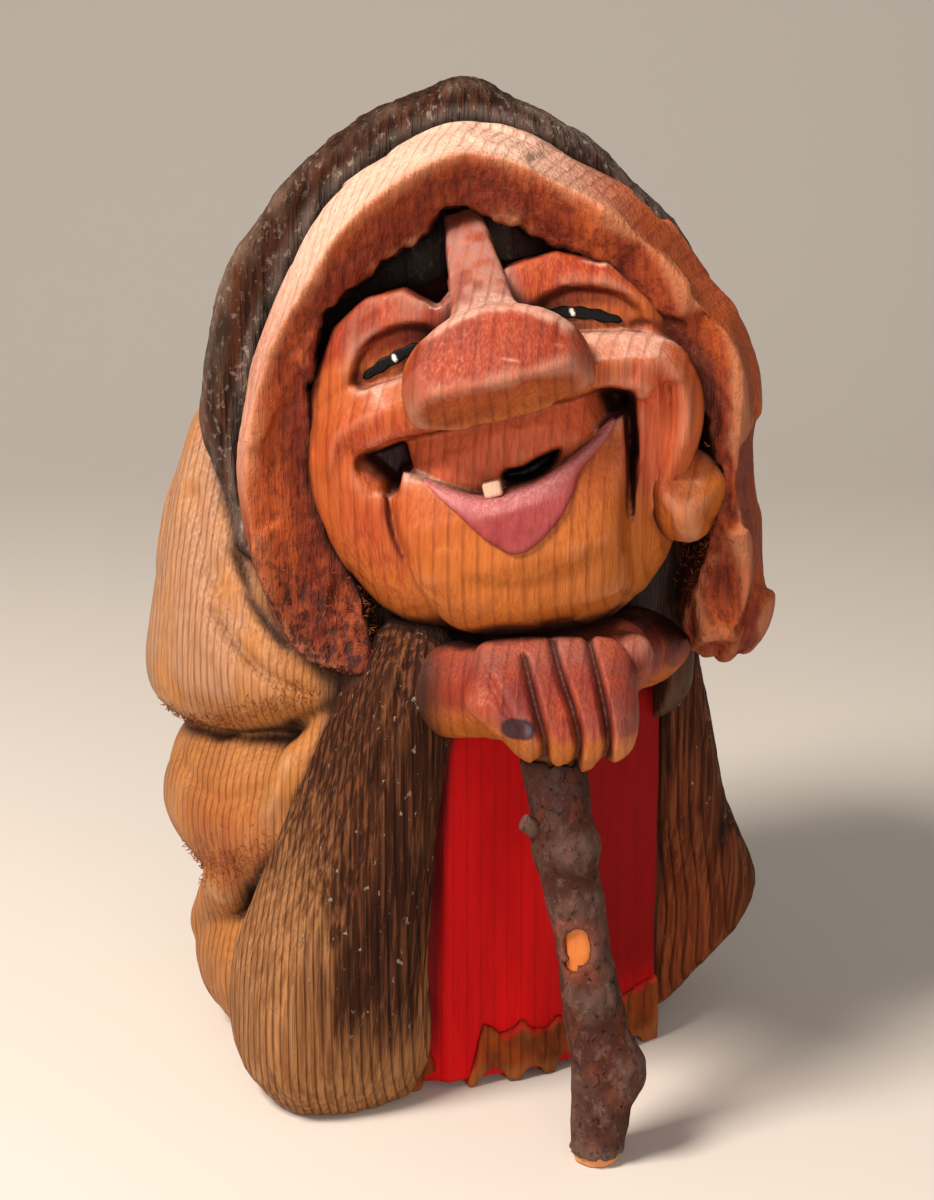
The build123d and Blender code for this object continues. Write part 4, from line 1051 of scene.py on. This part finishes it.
# rings: their spacing in mm. noises: grain in mm, how far it is drawn out upwards, and the range that shows.
# layers: source, colour, strength, what breaks it up and how it is mixed. relief: source and height in mm.
# In every finish, hollow and deep are painted shade (hollow with some wash) and edge is wear with a painted
# highlight.
finishes = {
    # Oiled pine, red-brown wash: warm satin, upright growth lines, dark in the cuts as painted shade,
    # pale on edges from wear and a painted highlight, and painted highlights on the faces turned up.
    "flushedPine": {
        "base": "#B05A28", "rings": 2.1, "roughness": (0.50, "fibre", 0.16), "gloss": 0.25,
        "noises": {"fibre": (0.45, 16, 0.40, 0.70), "mottle": (7.0, 2.5, 0.38, 0.66)},
        "layers": [("mottle", "#A0481E", 0.6), ("bare", "#B0621F", 0.8), ("blush", "#A0301A", 0.8, "fibre"),
                   ("wash", "#7C2A16", 0.8, "mottle"), ("plum", "#6A2A30", 0.5, "mottle"),
                   ("bevel", "#D0603A", 0.75), ("paintedHighlight", "#E0B4A0", 0.7, "mottle"),
                   ("ash", "#A08078", 0.75, "fibre"), ("rings", "#8E5A3A", 0.38, "mottle", "MULTIPLY"),
                   ("fibre", "#B98560", 0.35, None, "MULTIPLY"), ("edge", "#E4B294", 0.24, "mottle"),
                   ("hollow", "#4E1B0D", 0.85), ("deep", "#1C0905", 0.85), ("paintedSlitShade", "#050303", 1.0),
                   ("groove", "#2C0E08", 0.8), ("knot", "#24161E", 0.9, "mottle"),
                   ("glint", "#6E6A7A", 0.5, "mottle"), ("paintedShade", "#2A140A", 0.92)],
        "relief": [("rings", -0.02), ("fibre", -0.06)],
    },
    # Fresh knife-cut pine: paler and more orange, with torn fibres where the cut ran against the grain.
    "knifeCutPine": {
        "base": "#AE501E", "rings": 1.7, "roughness": (0.56, "fibre", 0.18), "gloss": 0.25,
        "noises": {"fibre": (0.45, 14, 0.40, 0.70), "mottle": (8.0, 2.5, 0.38, 0.66),
                   "torn": (1.1, 1.6, 0.45, 0.70)},
        # The pale bevel is a painted highlight, the stain by the opening is partly painted shade, the lower
        # left end has painted shade.
        "layers": [("mottle", "#9A4014", 0.65), ("stain", "#6E220C", 0.85, "mottle"),
                   ("bevel", "#EAC4AE", 0.88), ("rings", "#A06A46", 0.4, "mottle", "MULTIPLY"),
                   ("fibre", "#C08A62", 0.35, None, "MULTIPLY"), ("torn", "#54190B", 0.6, "stain"),
                   ("edge", "#D89468", 0.35, "mottle"), ("paintedShade", "#3A130A", 0.95, "torn"),
                   ("hollow", "#4C1C0E", 0.85), ("deep", "#1E0A05", 0.85)],
        "relief": [("rings", -0.02), ("fibre", -0.10), ("torn", -0.15)],
    },
    # Bark left on the log: dull, near black in the furrows, grey-brown on the ridges, pale where it flakes.
    "logBark": {
        "base": "#3A2014", "roughness": (0.86, "fleck", -0.12), "gloss": 0.1,
        "noises": {"furrow": (1.6, 9, 0.42, 0.60), "fleck": (0.9, 1.4, 0.56, 0.72),
                   "mottle": (6.0, 2.0, 0.42, 0.62)},
        # The grey crown is weathered bark; the pale flank turned to the left is painted light.
        "layers": [("mottle", "#522A16", 0.6), ("furrow", "#140906", 0.85),
                   ("peel", "#B4A498", 0.75, "fleck"), ("fleck", "#9C8A7E", 0.45, "mottle"),
                   ("pale", "#958880", 0.5, "fleck"), ("rust", "#5A2818", 0.8, "mottle"),
                   ("edge", "#7C6656", 0.45, "mottle"), ("hollow", "#120A07", 0.8), ("deep", "#0A0504", 0.7)],
        "relief": [("furrow", -0.35), ("fleck", 0.15)],
    },
    # Brown-stained pine: the wash sits in growth lines and in the creases, which also get painted shade;
    # the crests of the folds are pale from wear and a painted highlight; painted sheen on the hump, painted
    # shade under the kerchief.
    "stainedPine": {
        "base": "#B27438", "rings": 1.3, "roughness": (0.52, "fibre", 0.18), "gloss": 0.25,
        "noises": {"fibre": (0.5, 16, 0.40, 0.70), "mottle": (9.0, 2.5, 0.38, 0.64),
                   "moss": (14.0, 1.6, 0.50, 0.68)},
        "layers": [("mottle", "#976030", 0.7), ("moss", "#80705A", 0.5), ("pale", "#B8957E", 0.42, "mottle"),
                   ("rust", "#96451C", 0.8, "mottle"), ("rings", "#7A4E30", 0.5, "mottle", "MULTIPLY"),
                   ("fibre", "#B08058", 0.45, None, "MULTIPLY"), ("edge", "#DDBB92", 0.5, "mottle"),
                   ("paintedShade", "#32180B", 0.92), ("hollow", "#3E1E0C", 0.9), ("deep", "#1C0C05", 0.85)],
        "relief": [("rings", -0.03), ("fibre", -0.10)],
    },
    # Dark stain over rough pine: brown-black in the valleys, tan on the ridges, pale flakes of lifted grain.
    "darkStainedPine": {
        "base": "#A4744A", "rings": 1.25, "roughness": (0.62, "fibre", 0.15), "gloss": 0.1,
        "noises": {"fibre": (0.8, 24, 0.40, 0.62), "mottle": (7.0, 3.0, 0.36, 0.64),
                   "flake": (1.3, 1.5, 0.66, 0.74)},
        "layers": [("mottle", "#8A5A32", 0.6), ("warm", "#7C2C0A", 0.9), ("dark", "#64371F", 0.92),
                   ("dark", "#2E150A", 0.8, "fibre"), ("rings", "#5E3C28", 0.7, None, "MULTIPLY"),
                   ("fibre", "#8E6A52", 0.55, None, "MULTIPLY"), ("flake", "#B9AA9A", 0.55, "dark"),
                   ("edge", "#A8703E", 0.45, "mottle"), ("hollow", "#241008", 0.9),
                   ("deep", "#120704", 0.85)],
        "relief": [("rings", -0.10), ("fibre", -0.20), ("flake", 0.25)],
    },
    # Red paint over wood: even and slightly satin, with the grain just showing and dark where cuts meet as
    # painted shade;
    # darker on the right as a painted shadow of the fist and stick.
    "apronPaint": {
        "base": "#D2080D", "rings": 1.8, "roughness": (0.55, "mottle", 0.12), "gloss": 0.1,
        "noises": {"fibre": (0.6, 16, 0.45, 0.75), "mottle": (8.0, 4.0, 0.35, 0.65)},
        "layers": [("mottle", "#A6060B", 0.6), ("rings", "#B08A86", 0.25, None, "MULTIPLY"),
                   ("fibre", "#D0A8A0", 0.3, None, "MULTIPLY"), ("edge", "#CE3028", 0.25, "fibre"),
                   ("paintedShade", "#640204", 0.8), ("hollow", "#3C0304", 0.85), ("deep", "#200202", 0.8)],
        "relief": [("rings", -0.04), ("fibre", -0.05)],
    },
    # Bare hem: brown stained edge of the block with a lick of red where the brush overran.
    "hemStain": {
        "base": "#84380E", "rings": 1.5, "roughness": (0.62, "fibre", 0.12), "gloss": 0.1,
        "noises": {"fibre": (0.5, 12, 0.40, 0.70), "mottle": (4.0, 1.5, 0.38, 0.62)},
        "layers": [("mottle", "#54280E", 0.75), ("rings", "#7A5236", 0.5, None, "MULTIPLY"),
                   ("paint", "#B00A10", 0.85, "mottle"), ("edge", "#A86A38", 0.4), ("hollow", "#1E0D06", 0.9),
                   ("deep", "#100603", 0.8)],
        "relief": [("rings", -0.06), ("fibre", -0.08), ("mottle", 0.1)],
    },
    # Thin pink paint over the lip: a pale painted sheen, redder towards its lower edge.
    "lipPaint": {
        "base": "#983634", "roughness": (0.46, "mottle", 0.15), "gloss": 0.35,
        "noises": {"fibre": (0.5, 8, 0.40, 0.70), "mottle": (3.0, 1.5, 0.40, 0.62)},
        "layers": [("mottle", "#7C1C20", 0.75), ("paintedHighlight", "#DCA0A0", 0.7, "fibre"),
                   ("fibre", "#B07070", 0.35, None, "MULTIPLY"), ("edge", "#C8847E", 0.3, "mottle"),
                   ("hollow", "#4E1418", 0.7)],
        "relief": [("fibre", -0.05)],
    },
    # Bare wood left for the tooth: pale, matt.
    "bareTooth": {
        "base": "#DDB79C", "roughness": (0.5, "fibre", 0.1), "gloss": 0.25,
        "noises": {"fibre": (0.4, 8, 0.40, 0.70)},
        "layers": [("fibre", "#C08E72", 0.5), ("hollow", "#A06A52", 0.4)], "relief": [("fibre", -0.04)],
    },
    # Black enamel dots for eyes: glossy, with a touch of white.
    "eyePaint": {
        "base": "#060504", "roughness": (0.5, "fibre", 0.1), "gloss": 0.12,
        "noises": {"fibre": (0.5, 3, 0.40, 0.70)},
        "layers": [("fibre", "#1C1614", 0.5), ("glint", "#E6E1D8", 1.0)], "relief": [("fibre", -0.03)],
    },
    # Peeled hazel: clean orange sapwood, smooth.
    "twigWood": {
        "base": "#CC7638", "roughness": (0.5, "fibre", 0.12), "gloss": 0.2,
        "noises": {"fibre": (0.4, 14, 0.40, 0.70), "mottle": (3.0, 2.0, 0.40, 0.62)},
        # dark near the fist as painted shade
        "layers": [("mottle", "#B05C28", 0.6), ("fibre", "#A4602E", 0.35), ("edge", "#EBB98A", 0.3),
                   ("paintedShade", "#3E1E0E", 0.9), ("hollow", "#6A3416", 0.7)],
        "relief": [("fibre", -0.05)],
    },
    # Twig bark: matt grey-brown skin with lighter scabs, rust patches and small dark pits.
    "twigBark": {
        "base": "#40221B", "roughness": (0.80, "scab", -0.12), "gloss": 0.1,
        "noises": {"scab": (2.2, 1.3, 0.52, 0.64), "rust": (3.4, 1.6, 0.52, 0.66),
                   "pit": (0.9, 1.2, 0.60, 0.72), "fleck": (0.6, 1.5, 0.60, 0.75)},
        # the bark darkens under the fist as painted shade
        "layers": [("scab", "#684A40", 0.6), ("rust", "#6A3522", 0.6), ("fleck", "#8A7A70", 0.3),
                   ("warm", "#8E4432", 0.75, "scab"), ("pit", "#150D0B", 0.8), ("edge", "#745F55", 0.4),
                   ("paintedShade", "#1C1416", 0.55, "scab"), ("hollow", "#140D0B", 0.8)],
        "relief": [("scab", 0.12), ("pit", -0.25), ("fleck", 0.06)],
    },
    # Torn wood fibre: thin golden hairs.
    "tornFibre": {
        "base": "#9A5224", "roughness": (0.7, "mottle", 0.1), "gloss": 0.25,
        "noises": {"mottle": (3.0, 1.0, 0.35, 0.65)},
        "layers": [("mottle", "#5E2A10", 0.8)], "relief": [],
    },
}
# attributes that hold stain, paint, wear, painted light and painted shade
stainAndPaintedLightMarks = ("hollow", "deep", "edge", "blush", "bare", "ash", "paintedSlitShade", "stain", "peel", "pale", "rust",
              "dark", "paint", "glint", "bevel", "wash", "warm", "groove", "knot", "paintedHighlight", "paintedShade", "plum")


def makeFinish(name, look):
    material = bpy.data.materials.new(name)
    material.use_nodes = True
    tree = material.node_tree
    shader = tree.nodes["Principled BSDF"]
    shader.inputs["Specular IOR Level"].default_value = look["gloss"]
    place = addNode(tree, "ShaderNodeTexCoord").outputs["Object"]
    sources = {}
    if "rings" in look:
        about = addNode(tree, "ShaderNodeMapping",
                        {"Location": (-pith[0], -pith[1], 0), "Scale": (1, 1, growth["taper"])},
                        {"Vector": place})
        rings = addNode(tree, "ShaderNodeTexWave",
                        {"wave_type": "RINGS", "rings_direction": "Z", "wave_profile": "SAW",
                         "Scale": 2 * math.pi / (20 * look["rings"] * mm), "Distortion": growth["waver"],
                         "Detail": growth["detail"], "Detail Scale": growth["detailScale"]},
                        {"Vector": about.outputs[0]})
        drawn = addNode(tree, "ShaderNodeMapRange",
                        {"interpolation_type": "SMOOTHSTEP", 1: growth["lineFrom"], 2: growth["lineTo"]},
                        {0: rings.outputs["Fac"]})
        sources["rings"] = drawn.outputs[0]
    for label, (size, stretch, low, high) in look["noises"].items():
        about = addNode(tree, "ShaderNodeMapping", {"Scale": (1, 1, 1 / stretch)}, {"Vector": place})
        grain = addNode(tree, "ShaderNodeTexNoise", {"Scale": 1000 / size, "Detail": 3.0, "Roughness": 0.6},
                        {"Vector": about.outputs[0]})
        sources[label] = addNode(tree, "ShaderNodeMapRange", {1: low, 2: high},
                                 {0: grain.outputs["Fac"]}).outputs[0]
    colour = None
    for source, hexText, amount, *more in look["layers"]:
        if source in stainAndPaintedLightMarks and source not in sources:
            sources[source] = addNode(tree, "ShaderNodeAttribute", {"attribute_name": source}).outputs["Fac"]
        factor = sources[source]
        # the breakup source scales the layer from 0.4 to 1.6 times
        if more and more[0]:
            paintedHighlight = sums(tree, "MULTIPLY_ADD", sources[more[0]], 1.2, 0.4)
            factor = sums(tree, "MULTIPLY", factor, paintedHighlight, clamp=True)
        factor = sums(tree, "MULTIPLY", factor, amount, clamp=True)
        blend = more[1] if len(more) > 1 else "MIX"
        under, over = toLinear(look["base"]), toLinear(hexText)
        layer = addNode(tree, "ShaderNodeMix", {"data_type": "RGBA", "blend_type": blend, 6: under, 7: over},
                        {0: factor})
        if colour:
            tree.links.new(colour, layer.inputs[6])
        colour = layer.outputs[2]
    tree.links.new(colour, shader.inputs["Base Color"])
    base, source, change = look["roughness"]
    rough = sums(tree, "MULTIPLY_ADD", sources[source], change, base)
    tree.links.new(rough, shader.inputs["Roughness"])
    height = 0.0
    for source, amount in look["relief"]:
        height = sums(tree, "MULTIPLY_ADD", sources[source], amount, height)
    if look["relief"]:
        bump = addNode(tree, "ShaderNodeBump", {"Strength": 1.0, "Distance": mm}, {"Height": height})
        tree.links.new(bump.outputs[0], shader.inputs["Normal"])
    return material


materials = {name: makeFinish(name, look) for name, look in finishes.items()}
print("finishes:", len(materials))

for piece in pieces:
    points, quads = piece["points"], piece["quads"]
    normals = normalsOf(points, quads)
    marks = piece["marks"](points, normals) if piece["marks"] else {}
    # inside takes painted shade out of the mouth and the hood recess
    lit = 1 - marks.pop("inside", 0)
    # hollow is painted shade with some wash, deep is painted shade, edge is wear with a painted highlight
    close = readWood(closeWood, points + shade["closeReach"] * normals)
    wide = readWood(wideWood, points + shade["wideReach"] * normals)
    marks["hollow"] = lit * ramp(*shade["hollow"], close)
    marks["edge"] = marks.pop("wearAndHighlight", 1) * ramp(*shade["edge"], readWood(closeWood, points))
    marks["deep"] = lit * ramp(*shade["deep"], wide)
    mesh = bpy.data.meshes.new(piece["name"])
    mesh.from_pydata((points * mm).tolist(), [], quads.tolist())
    mesh.polygons.foreach_set("use_smooth", [True] * len(mesh.polygons))
    for label, values in marks.items():
        mesh.attributes.new(label, "FLOAT", "POINT").data.foreach_set("value", np.asarray(values, np.float32))
    mesh.materials.append(materials[piece["finish"]])
    piece["object"] = bpy.data.objects.new(piece["name"], mesh)
    scene.collection.objects.link(piece["object"])
    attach(piece["object"], piece["body"])
    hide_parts(piece["node"])
print("pieces placed:", len(pieces))

# Density is per square metre, Length in metres and Thickness a share of the length.
fibres = {"Density": 2.6e6, "Length": 0.0008, "Thickness": 0.08, "Seed": 7}


def fibreTree():
    tree = bpy.data.node_groups.new("tornFibres", "GeometryNodeTree")
    tree.interface.new_socket("Geometry", in_out="INPUT", socket_type="NodeSocketGeometry")
    for label, value in fibres.items():
        kind = "NodeSocketInt" if isinstance(value, int) else "NodeSocketFloat"
        tree.interface.new_socket(label, in_out="INPUT", socket_type=kind)
    tree.interface.new_socket("Geometry", in_out="OUTPUT", socket_type="NodeSocketGeometry")
    start = addNode(tree, "NodeGroupInput").outputs
    fuzz = addNode(tree, "GeometryNodeInputNamedAttribute", {"data_type": "FLOAT", "Name": "fuzz"})
    thick = sums(tree, "MULTIPLY", fuzz.outputs["Attribute"], start["Density"])
    roots = addNode(tree, "GeometryNodeDistributePointsOnFaces", {"distribute_method": "RANDOM"},
                    {"Mesh": start["Geometry"], "Density": thick, "Seed": start["Seed"]})
    bend = addNode(tree, "GeometryNodeCurveQuadraticBezier",
                   {"Resolution": 4, "Start": (0, 0, -0.1), "Middle": (0.1, 0, 0.4), "End": (0.8, 0.1, 0.6)})
    ring = addNode(tree, "GeometryNodeCurvePrimitiveCircle", {"Resolution": 3},
                   {"Radius": start["Thickness"]})
    hair = addNode(tree, "GeometryNodeCurveToMesh", {"Fill Caps": True},
                   {"Curve": bend.outputs[0], "Profile Curve": ring.outputs[0]})
    lean = addNode(tree, "FunctionNodeRandomValue",
                   {"data_type": "FLOAT_VECTOR", 0: (-0.8, -0.8, -3.14), 1: (0.8, 0.8, 3.14)},
                   {"Seed": start["Seed"]})
    turn = addNode(tree, "FunctionNodeEulerToRotation", {}, {0: lean.outputs[0]})
    stand = addNode(tree, "FunctionNodeRotateRotation", {"rotation_space": "LOCAL"},
                    {0: roots.outputs["Rotation"], 1: turn.outputs[0]})
    vary = addNode(tree, "FunctionNodeRandomValue", {"data_type": "FLOAT", 2: 0.35, 3: 1.3},
                   {"Seed": start["Seed"]})
    size = sums(tree, "MULTIPLY", vary.outputs[1], start["Length"])
    placed = addNode(tree, "GeometryNodeInstanceOnPoints", {},
                     {"Points": roots.outputs["Points"], "Instance": hair.outputs[0],
                      "Rotation": stand.outputs[0], "Scale": size})
    real = addNode(tree, "GeometryNodeRealizeInstances", {}, {0: placed.outputs[0]})
    painted = addNode(tree, "GeometryNodeSetMaterial", {"Material": materials["tornFibre"]},
                      {"Geometry": real.outputs[0]})
    addNode(tree, "NodeGroupOutput", {}, {0: painted.outputs[0]})
    return tree


tree = fibreTree()
for piece in pieces:
    mesh = piece["object"].data
    if "fuzz" not in mesh.attributes:
        continue
    hairs = bpy.data.objects.new(piece["name"] + "Fibres", mesh)
    scene.collection.objects.link(hairs)
    modifier = hairs.modifiers.new("fibres", "NODES")
    modifier.node_group = tree
    for item in tree.interface.items_tree:
        if item.in_out == "INPUT" and item.name in fibres:
            modifier[item.identifier] = fibres[item.name]
    grown = bpy.data.meshes.new_from_object(hairs.evaluated_get(bpy.context.evaluated_depsgraph_get()))
    hairs.modifiers.clear()
    hairs.data = grown
    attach(hairs, piece["body"])
    print(hairs.name, len(grown.polygons), "faces")

stage = {
    "floor": "#D6CFC6", "roughness": 0.8, "front": -1.6, "back": 0.9, "half": 2.4, "height": 1.8,
    "bend": 0.45, "bendCuts": 12, "sky": "#E8E6E4", "skyStrength": 0.36, "aim": (0, 0, 0.075),
}


def makeStage():
    profile = [(stage["front"], 0.0), (stage["back"] - stage["bend"], 0.0)]
    for k in range(1, stage["bendCuts"] + 1):
        a = math.pi / 2 * k / stage["bendCuts"]
        y = stage["back"] - stage["bend"] + stage["bend"] * math.sin(a)
        profile.append((y, stage["bend"] * (1 - math.cos(a))))
    profile.append((stage["back"], stage["height"]))
    verts = [(side * stage["half"], y, z) for y, z in profile for side in (-1, 1)]
    mesh = bpy.data.meshes.new("floor")
    mesh.from_pydata(verts, [], [(2 * i, 2 * i + 1, 2 * i + 3, 2 * i + 2) for i in range(len(profile) - 1)])
    mesh.polygons.foreach_set("use_smooth", [True] * len(mesh.polygons))
    paper = bpy.data.materials.new("palePaper")  # matt paper sweep: no gloss, soft shadow
    paper.use_nodes = True
    paper.node_tree.nodes["Principled BSDF"].inputs["Base Color"].default_value = toLinear(stage["floor"])
    paper.node_tree.nodes["Principled BSDF"].inputs["Roughness"].default_value = stage["roughness"]
    mesh.materials.append(paper)
    floor = bpy.data.objects.new("floor", mesh)
    scene.collection.objects.link(floor)


makeStage()
world = bpy.data.worlds.new("studio")
scene.world = world
world.use_nodes = True
world.node_tree.nodes["Background"].inputs["Color"].default_value = toLinear(stage["sky"])
world.node_tree.nodes["Background"].inputs["Strength"].default_value = stage["skyStrength"]

lamps = [  # name, place, watts, size, colour
    ("key", (-0.33, -0.27, 0.57), 6.6, 0.20, "#FFF3E8"),
    ("fill", (0.10, -0.68, 0.16), 2.1, 0.4, "#FFF6EE"),
]
for name, place, power, size, colour in lamps:
    light = bpy.data.lights.new(name, "AREA")
    light.energy, light.size, light.color = power, size, toLinear(colour)[:3]
    lamp = bpy.data.objects.new(name, light)
    lamp.location = place
    lamp.rotation_euler = (Vector(stage["aim"]) - Vector(place)).to_track_quat("-Z", "Y").to_euler()
    scene.collection.objects.link(lamp)

# halfView is half of the 1200 px side over the focal length in px
lens = {"tilt": 14.0, "distance": 0.355, "height": 0.0696, "halfView": 600 / 2240, "sensor": 36.0}
camera = bpy.data.objects.new("camera", bpy.data.cameras.new("camera"))
scene.collection.objects.link(camera)
tilt = math.radians(lens["tilt"])
camera.location = (0.0, -lens["distance"] * math.cos(tilt),
                   lens["height"] + lens["distance"] * math.sin(tilt))
camera.rotation_euler = (math.pi / 2 - tilt, 0, 0)
camera.data.sensor_width = lens["sensor"]
camera.data.lens = lens["sensor"] / 2 / lens["halfView"]
camera.data.clip_start = 0.01
scene.camera = camera
scene.view_settings.view_transform = "Standard"
